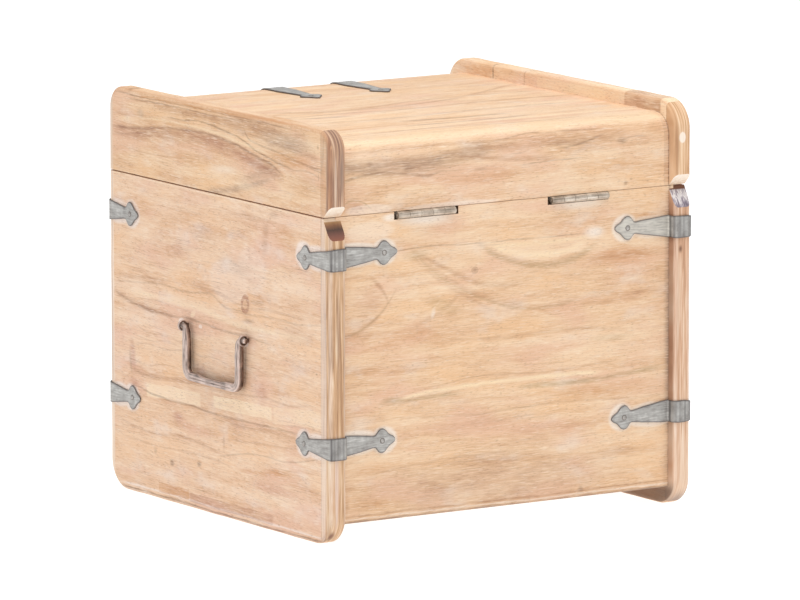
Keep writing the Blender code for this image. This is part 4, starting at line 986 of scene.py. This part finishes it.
# A strap is a profile carried along a bent middle line. At a distance s from the nearer tip its half width
# comes from the table (mm) of a round nose, two lobes, a neck and a long flare. The profile is two flat faces
# and two half-round edges of half the sheet's thickness, and the hammered faces sink by a tenth of a
# millimetre here and there. The marks are the edge (1 on the half-round edges), the bend (where the sheet
# goes round the corner), the bloom (a chalkier coat) and the sheet's own (along, across).
strap = {"sheet": 0.0012, "gap": 0.0003, "length": 0.1415, "leafRear": 0.0565, "leafFront": 0.0555,
         "bend": 0.0018, "lowHeight": 0.091, "highHeight": 0.266, "sunk": 0.00016, "uneven": 0.0002,
         "lidReach": 0.0995,
         "lidSpacing": 0.078, "lidShift": -0.005, "nailAt": 0.0143, "bloom": 0.8,
         "shape": ((0, 0), (0.5, 1.5), (1.5, 2.7), (3, 3.7), (5, 4.6), (7, 5.9), (8.6, 7.6), (10.2, 9.4),
                   (12, 10.8), (14, 11.5), (16, 11.3), (18, 10.2), (19.6, 8.2), (20.8, 6.6), (22.2, 5.9),
                   (24, 5.8), (58, 10.4), (200, 10.4))}
# as hammered on by hand: how far (mm) each strap lies round its corner, and the rise of its ends
strapSet = {"rear_right_upper": (-1.5, -2.2, 1.8), "rear_right_lower": (1.0, 0.2, 2.2),
            "rear_left_upper": (-2.2, 0, 2.4), "rear_left_lower": (-5.5, 0, -2.4),
            "front_right_lower": (1.5, 0, 0), "front_right_upper": (-1.5, 0, 0)}


def strapSkin(start, turns, toWorld, seed, rises, wrapped, bloom):
    total, at = bentLine(start, turns)
    nose = np.linspace(0, 1, 46) ** 1.5 * 0.026 + 0.00012
    distances = np.concatenate([nose, np.arange(0.0269, total - 0.0265, 0.0009), (total - nose)[::-1]])
    u, v, heading = at(distances)
    near = np.minimum(distances, total - distances)
    half = np.interp(near, *(np.array(strap["shape"]) / 1000).T)
    half = half + wander(distances, 0.006, seed) * strap["uneven"] * np.clip(near / 0.01, 0, 1)
    radius = np.minimum(strap["sheet"] / 2, half * 0.9)
    turn = np.linspace(-math.pi / 2, math.pi / 2, 7)
    flat = np.array([0.96, 0.89, 0.74, 0.4, 0, -0.4, -0.74, -0.89, -0.96])
    # round the profile: right edge, outer face, left edge, inner face, as (across, out) pairs
    across = np.concatenate([np.ones(7), flat, -np.ones(7), -flat])
    edge = np.concatenate([np.cos(turn), np.zeros(9), -np.cos(turn), np.zeros(9)])
    out = np.concatenate([np.sin(turn), np.ones(9), np.sin(turn)[::-1], -np.ones(9)])
    width = across * (half - radius)[:, None] + edge * radius[:, None]
    rise = out * radius[:, None]
    upper = (out > 0.9)[None, :] * (1 - np.abs(across) ** 4)
    dents = wander(distances[:, None] + width * 1.7, 0.0042, seed + 1)
    dip = 0.5 + 0.5 * dents * wander(width - distances[:, None] * 0.6, 0.0035, seed + 2)
    rise = rise - upper * dip * strap["sunk"]
    alongU, alongV = np.cos(heading)[:, None], np.sin(heading)[:, None]
    tilt = np.interp(distances, [0, total * 0.45, total * 0.55, total], [rises[0], 0, 0, rises[1]])[:, None]
    points = toWorld(u[:, None] + alongV * rise, v[:, None] - alongU * rise, width + tilt)
    whole = np.ones_like(width)
    rim = half[:, None] - radius[:, None] - np.abs(width)
    # the edge mark: the thin coat on the half-round edges, with painted shade along them
    edge = np.where(np.abs(out) < 0.9, 1.0, np.clip(1 - rim / 0.0011, 0, 1) ** 1.3 * 0.85)
    bent = sum(np.exp(-((distances - place) / 0.0011) ** 2) for place in wrapped if place)
    bands = np.clip(0.5 + 0.8 * wander(distances, 0.0008, seed + 7), 0.08, 1)
    bent = np.maximum(bent, 0.6 * bands * ((distances > wrapped[0]) & (distances < wrapped[1])))
    bloomed = bloom * (distances > wrapped[1] + 0.002)
    marks = {"edge": edge, "bend": bent[:, None] * whole, "bloom": bloomed[:, None] * whole,
             "sheet": np.stack([distances[:, None] * whole, width, seed * whole], -1)}
    return points, marks


def strapPiece(name, start, turns, toWorld, body, seed, rises=(0, 0), wrapped=(0, 0), bloom=0.0):
    skin, marks = strapSkin(start, turns, toWorld, seed, rises, wrapped, bloom)
    addPiece(name, skin, ringFaces(*skin.shape[:2]), zinc, body, "zinc", [name], 50, marks=marks)
    total, at = bentLine(start, turns)
    skins = []
    for spot, rise in ((strap["nailAt"], rises[0]), (total - strap["nailAt"], rises[1])):
        share = abs(spot - total / 2) / (total / 2)
        skins.append(nailSkin(*at(spot), lambda u, v, w: toWorld(u, v, w + rise * share)))
    points, faces = joinSkins(*skins)
    grime = np.tile(np.repeat(nail["grime"], nail["sides"]), len(skins))
    addPiece(name + "_nails", points, faces, nailZinc, body, "zinc", (), 30, marks={"edge": grime})


# A nail head: height * (1 - (r / radius) ** 2) ** 0.7 inside a thin flange that fills the dimple round it
nail = {"radius": 0.0019, "height": 0.0008, "flange": 0.0027, "sides": 20,
        "flangeRises": (-0.0004, 0.00005, 0.00014), "crownRise": 0.0001,
        "grime": (1, 1, 1, 0.9, 0.3, 0, 0, 0, 0, 0.25, 0.4)}


def nailSkin(u, v, heading, toWorld):
    base = strap["sheet"] / 2
    crown = nail["radius"] * np.array([1.0, 0.97, 0.9, 0.76, 0.58, 0.38, 0.18, 0.03])
    radii = np.concatenate([[nail["flange"] * 0.94, nail["flange"], nail["flange"] * 0.9], crown])
    dome = np.clip(1 - (crown / nail["radius"]) ** 2, 0, 1) ** 0.7
    rises = base + np.concatenate([nail["flangeRises"], nail["crownRise"] + nail["height"] * dome])
    angles = np.linspace(0, 2 * math.pi, nail["sides"], endpoint=False)
    along, across = radii[:, None] * np.cos(angles), radii[:, None] * np.sin(angles)
    rises = np.repeat(rises[:, None], len(angles), 1)
    return toWorld(u + math.cos(heading) * along + math.sin(heading) * rises,
                   v + math.sin(heading) * along - math.cos(heading) * rises, across)


strapOffset = strap["gap"] + strap["sheet"] / 2
quarter = math.pi / 2
for level, height in (("lower", strap["lowHeight"]), ("upper", strap["highHeight"])):
    for sideName, side in (("right", 1), ("left", -1)):
        for end, facing, leaf in (("front", -1, strap["leafFront"]), ("rear", 1, strap["leafRear"])):
            slide, *rises = [part / 1000 for part in strapSet.get(f"{end}_{sideName}_{level}", (0, 0, 0))]
            wrap = sideBoard["ease"] + strapOffset
            across = halfWidth - innerFace - 2 * sideBoard["ease"]
            down = halfDepth - wallFace - sideBoard["ease"] - strapOffset - strap["bend"]
            flat = leaf + slide - sideBoard["ease"]
            tail = strap["length"] - flat - across - down - (2 * wrap + strap["bend"]) * quarter
            turns = [(flat, quarter, wrap), (across, quarter, wrap), (down, -quarter, strap["bend"]),
                     (tail, 0, 0)]
            strapPiece(f"corner_strap_{end}_{sideName}_{level}",
                       (halfWidth + strapOffset, halfDepth - leaf - slide, quarter), turns,
                       lambda u, v, w: np.stack([side * u, facing * v, height + w], -1), "case",
                       int(height * 1000) + side * 3 + facing, rises,
                       (flat + wrap, flat + across + 2 * wrap * quarter + 0.002),
                       strap["bloom"] if (side, level) == (-1, "upper") else 0.0)
wrap = longBoard["roundOver"] + strapOffset
flat = strap["lidReach"] - longBoard["roundOver"]
for sideName, side in (("right", 1), ("left", -1)):
    middle = strap["lidShift"] + side * strap["lidSpacing"] / 2
    strapPiece(f"lid_strap_{sideName}", (-wallFace + strap["lidReach"], lidTop + strapOffset, math.pi),
               [(flat, quarter, wrap), (strap["length"] - flat - wrap * quarter, 0, 0)],
               lambda u, v, w: np.stack([middle + w, u, v], -1), "lid", 40 + side)
print("chest: the straps are made")

# Each hinge leaf is a stamped plate with its knuckles rolled round the pin. A knuckle is a turned tube with
# eased ends, and the plate's edge is a rounded outline carried through the sheet.
sheet, outer, ease = hinge["sheet"], hinge["barrel"], hinge["knuckleEase"]
inner, pitch = hinge["pin"] + hinge["gap"], hinge["length"] / hinge["knuckles"]
leafTop, root, edge = lidBottom - hinge["gap"], hingeY - outer - hinge["gap"], hingeY - hinge["leaf"]
for sideName, middle in zip(("left", "right"), hingeMiddles):
    left, right = middle - hinge["length"] / 2, middle + hinge["length"] / 2
    for leafName, body, first, top in (("body", "case", 0, leafTop - sheet - hinge["gap"]),
                                       ("lid", "lid", 1, leafTop)):
        name = f"hinge_{leafName}_leaf_{sideName}"
        plate = outline([(left, edge, hinge["leafCorner"], 0), (right, edge, hinge["leafCorner"], 0),
                         (right, root, 0, 0), (left, root, 0, 0)], 0.004, 5)[0]
        levels = [(hinge["ease"], top), (0, top - hinge["ease"]), (0, top - sheet + hinge["ease"]),
                  (hinge["ease"], top - sheet)]
        skins = [np.stack([np.column_stack([inset(plate, np.full(len(plate), margin)), np.full(len(plate), z)])
                           for margin, z in levels])]
        for knuckle in range(first, hinge["knuckles"], 2):
            start = left + knuckle * pitch + hinge["knuckleGap"]
            stop = left + (knuckle + 1) * pitch - hinge["knuckleGap"]
            places = [start + ease, start, start, start + ease, stop - ease, stop, stop, stop - ease]
            radii = [inner, inner, outer - ease, outer, outer, outer - ease, inner, inner]
            skins.append(turned(places, radii, (hingeY, hingeZ), 0))
            # the tab that joins the knuckle to the plate
            tab = [(root - 0.001, top), (hingeY, top), (hingeY, top - sheet), (root - 0.001, top - sheet)]
            tabEnds = (start + ease, stop - ease)
            skins.append(np.stack([np.column_stack([np.full(4, x), tab]) for x in tabEnds]))
        addPiece(name, *joinSkins(*skins), steel, body, "steel", [name], 40)
    half = hinge["length"] / 2 + hinge["pinProud"]
    places = middle + np.array([-half, -half + 0.0002, half - 0.0002, half])
    pin = turned(places, hinge["pin"] * np.array([0.75, 1, 1, 0.75]), (hingeY, hingeZ), 0, 20)
    name = f"hinge_pin_{sideName}"
    addPiece(name, pin, ringFaces(*pin.shape[:2]), steel, "case", "steel", [name])
print("chest: the hinges are made")

# A bail is a bar bent down from two pintles in the eyes. Its section is |cos
# a| ** p + |sin a| ** p = 1, with p from 2 on the round pintles to 5 on the
# square legs and grip, and its thickness wanders as a forged bar's does.
bail = {"height": 0.174, "standoff": 0.0062, "drop": 0.0470, "half": 0.0033, "pintle": 0.0024, "span": 0.047,
        "topBend": 0.0045, "cornerBend": 0.0095, "shift": 0.001, "endProud": 0.0030, "forged": 0.05,
        "swell": 0.45, "sides": 24}
eye = {"wire": 0.0013, "gap": 0.0008, "running": 0.0004, "leg": 0.0085, "half": 0.0011, "flare": 0.0025,
       "bend": 0.0016}
eyeRing = bail["pintle"] + eye["running"] + eye["wire"]
eyeSpan = bail["span"] + bail["topBend"] + eye["gap"] + eye["wire"]


# A bar's own coordinates (along, around): around is 2 * radius * sin(a / 2), which has no seam
def ownSheet(distances, angles, radius):
    along, around = np.meshgrid(distances, 2 * radius * np.sin(angles / 2), indexing="ij")
    return np.stack([along, around, np.zeros_like(along)], -1)


def bailSkin(side, seed):
    axisX = side * (halfWidth + bail["standoff"])
    end = eyeSpan + eye["wire"] + bail["endProud"]
    bendStart = bail["span"] + bail["topBend"]
    leg = bail["drop"] - bail["topBend"] - bail["cornerBend"]
    grip = 2 * (bail["span"] - bail["cornerBend"])
    turns = [(end - bendStart, -quarter, bail["topBend"]), (leg, quarter, bail["cornerBend"]),
             (grip, quarter, bail["cornerBend"]), (leg, -quarter, bail["topBend"]), (end - bendStart, 0, 0)]
    total, at = bentLine((-end, 0.0, 0.0), turns)
    nose = np.array([0, 0.0002, 0.0006])
    distances = np.concatenate([nose, np.arange(0.0012, total - 0.001, 0.0012), (total - nose)[::-1]])
    y, z, heading = at(distances)
    near = np.minimum(distances, total - distances)
    square = np.clip((near - (end - bendStart)) / (bail["topBend"] * quarter), 0, 1)
    blunt = np.interp(near, [0, 0.0002, 0.0006], [0.55, 0.82, 1.0])
    size = (bail["pintle"] + (bail["half"] - bail["pintle"]) * square) * blunt
    size = size * (1 + bail["forged"] * (wander(distances, 0.007, seed) - 1) * 0.5 * square)
    power = (2 + 3 * square)[:, None]
    angles = np.linspace(0, 2 * math.pi, bail["sides"], endpoint=False)
    radius = size[:, None] / (np.abs(np.cos(angles)) ** power + np.abs(np.sin(angles)) ** power) ** (1 / power)
    out, across = radius * np.cos(angles), radius * np.sin(angles)
    legStart = end - bendStart + bail["topBend"] * quarter
    onLeg = np.clip(np.minimum(near - legStart, bendStart - near + leg) / 0.012, 0, 1)
    across = across * (1 + bail["swell"] * onLeg[:, None] * (np.sin(angles) > 0))
    # the outer faces are pale where hands rubbed off the scale, and also painted as a highlight on the faces
    # turned to the light; the grip is darker down its middle and has a painted highlight along its top
    gripStart = legStart + leg + bail["cornerBend"] * quarter
    onGrip = np.clip((near - gripStart) / 0.004, 0, 1)
    outer = np.clip((side * np.cos(angles) * 0.75 + np.abs(np.sin(angles)) * 0.55 - 0.42) / 0.4, 0, 1)
    groove = np.exp(-((np.sin(angles) + 0.05) / 0.16) ** 2) * (side * np.cos(angles) > 0)
    patchy = 0.85 + 0.15 * wander(distances, 0.009, seed + 5)[:, None]
    wearAndHighlight = outer * (1 - 0.75 * onGrip[:, None] * groove) * patchy
    wearAndHighlight = np.maximum(wearAndHighlight, 0.45 * np.clip((np.sin(angles) - 0.8) / 0.15, 0, 1) * onGrip[:, None])
    points = np.stack([axisX + out, bail["shift"] + y[:, None] - np.sin(heading)[:, None] * across,
                       bail["height"] + z[:, None] + np.cos(heading)[:, None] * across], -1)
    return points, {"wearAndHighlight": wearAndHighlight, "sheet": ownSheet(distances, angles, bail["half"])}


# An eye is one wire: up from its clinched leg inside, out through the board,
# round the pintle and back the same way. The flare's angle is where cos =
# (half + flare) / (ring + flare), so that the ring is centred on the pintle.
def eyeSkin(side, facing):
    flare = math.acos((eye["half"] + eye["flare"]) / (eyeRing + eye["flare"]))
    ringStart = bail["standoff"] + halfWidth - (eyeRing + eye["flare"]) * math.sin(flare)
    inside = innerFace - eye["half"]
    straight = ringStart - inside - eye["bend"]
    turns = [(eye["leg"] - eye["bend"], -quarter, eye["bend"]), (straight, -flare, eye["flare"]),
             (0.0, math.pi + 2 * flare, eyeRing), (0.0, -flare, eye["flare"]),
             (straight, -quarter, eye["bend"]), (eye["leg"] - eye["bend"], 0, 0)]
    total, at = bentLine((inside, -eye["half"] - eye["leg"], quarter), turns)
    distances = np.concatenate([[0.0], np.arange(0.0004, total - 0.0003, 0.0007), [total]])
    x, z, heading = at(distances)
    onRing = np.clip((x - ringStart) / 0.002, 0, 1)
    size = eye["half"] + (eye["wire"] - eye["half"]) * onRing
    size[[0, -1]] *= 0.6
    angles = np.linspace(0, 2 * math.pi, 16, endpoint=False)
    out, across = size[:, None] * np.cos(angles), size[:, None] * np.sin(angles)
    y = bail["shift"] + facing * eyeSpan
    # the wire's outer side round the ring is rubbed bright, and painted as a highlight there too
    wearAndHighlight = onRing[:, None] * np.clip((-np.sin(angles) - 0.1) / 0.5, 0, 1)
    points = np.stack([side * (x[:, None] - np.sin(heading)[:, None] * across), y + out,
                       bail["height"] + z[:, None] + np.cos(heading)[:, None] * across], -1)
    return points, {"wearAndHighlight": wearAndHighlight, "sheet": ownSheet(distances, angles, eye["wire"])}


for sideName, side in (("right", 1), ("left", -1)):
    skin, marks = bailSkin(side, 60 + side)
    name = f"bail_{sideName}"
    addPiece(name, skin, ringFaces(*skin.shape[:2]), iron, name, "iron", [name], 60, marks=marks)
    for end, facing in (("front", -1), ("rear", 1)):
        skin, marks = eyeSkin(side, facing)
        name = f"handle_eye_{sideName}_{end}"
        addPiece(name, skin, ringFaces(*skin.shape[:2]), iron, "case", "iron", [name], 60, marks=marks)
print("chest: the handles are made")

# A pale studio sweep that glows, so that it stays plain white right up to the chest
stageLooks = {"floor": "#A6A6A6", "glow": 0.90, "world": 0.56, "size": 30.0, "drop": -0.0004}
floorMaterial, _, floorShader = newMaterial("paleStudioFloor", Roughness=0.9, Specular_IOR_Level=0.1)
floorShader.inputs["Base Color"].default_value = tint(stageLooks["floor"])
floorShader.inputs["Emission Color"].default_value = (1.0, 1.0, 1.0, 1.0)
floorShader.inputs["Emission Strength"].default_value = stageLooks["glow"]
reach = stageLooks["size"]
floorMesh = bpy.data.meshes.new("studio_floor")
corners = [(x * reach, y * reach, stageLooks["drop"]) for x, y in ((-1, -1), (1, -1), (1, 1), (-1, 1))]
floorMesh.from_pydata(corners, [], [(0, 1, 2, 3)])
floorMesh.materials.append(floorMaterial)
floor = bpy.data.objects.new("studio_floor", floorMesh)
bpy.context.scene.collection.objects.link(floor)

scene = bpy.context.scene
scene.view_settings.view_transform = "Standard"
world = bpy.data.worlds.new("studio")
world.use_nodes = True
world.node_tree.nodes["Background"].inputs[0].default_value = (1, 1, 1, 1)
world.node_tree.nodes["Background"].inputs[1].default_value = stageLooks["world"]
scene.world = world


# A square soft light at a place, turned to the middle of the chest
def softLight(name, place, size, power):
    data = bpy.data.lights.new(name, "AREA")
    data.energy, data.size = power, size
    light = bpy.data.objects.new(name, data)
    scene.collection.objects.link(light)
    light.location = place
    aim = Vector((0, 0, 0.2)) - Vector(place)
    light.rotation_euler = aim.to_track_quat("-Z", "Y").to_euler()


# each light's place, size in metres and power in watts
lights = {"overhead_panel": ((0.3, 0.5, 2.6), 2.0, 42), "left_panel": ((2.6, 0.6, 1.3), 1.6, 3),
          "right_panel": ((0.2, 3.0, 1.3), 1.6, 4)}
for name, settings in lights.items():
    softLight(name, *settings)

# The camera stands 8.6 m from the chest's middle, off its
# right rear corner, with a long lens. Angles are in degrees.
view = {"place": (4.578, 7.098, 1.528), "yaw": 147.169, "pitch": 9.021, "roll": -0.060, "lens": 408.4,
        "sensor": 36.0}
yaw, pitch, roll = (math.radians(view[key]) for key in ("yaw", "pitch", "roll"))
backward = Vector((math.sin(yaw) * math.cos(pitch), -math.cos(yaw) * math.cos(pitch), math.sin(pitch)))
level = Vector((math.cos(yaw), math.sin(yaw), 0.0))
above = backward.cross(level)
rightward = level * math.cos(roll) + above * math.sin(roll)
upward = backward.cross(rightward)
cameraData = bpy.data.cameras.new("product_camera")
cameraData.lens, cameraData.sensor_width = view["lens"], view["sensor"]
cameraData.clip_end = 100.0
camera = bpy.data.objects.new("product_camera", cameraData)
scene.collection.objects.link(camera)
camera.matrix_world = Matrix((rightward, upward, backward)).transposed().to_4x4()
camera.location = view["place"]
scene.camera = camera
print("chest: the studio and camera are set")
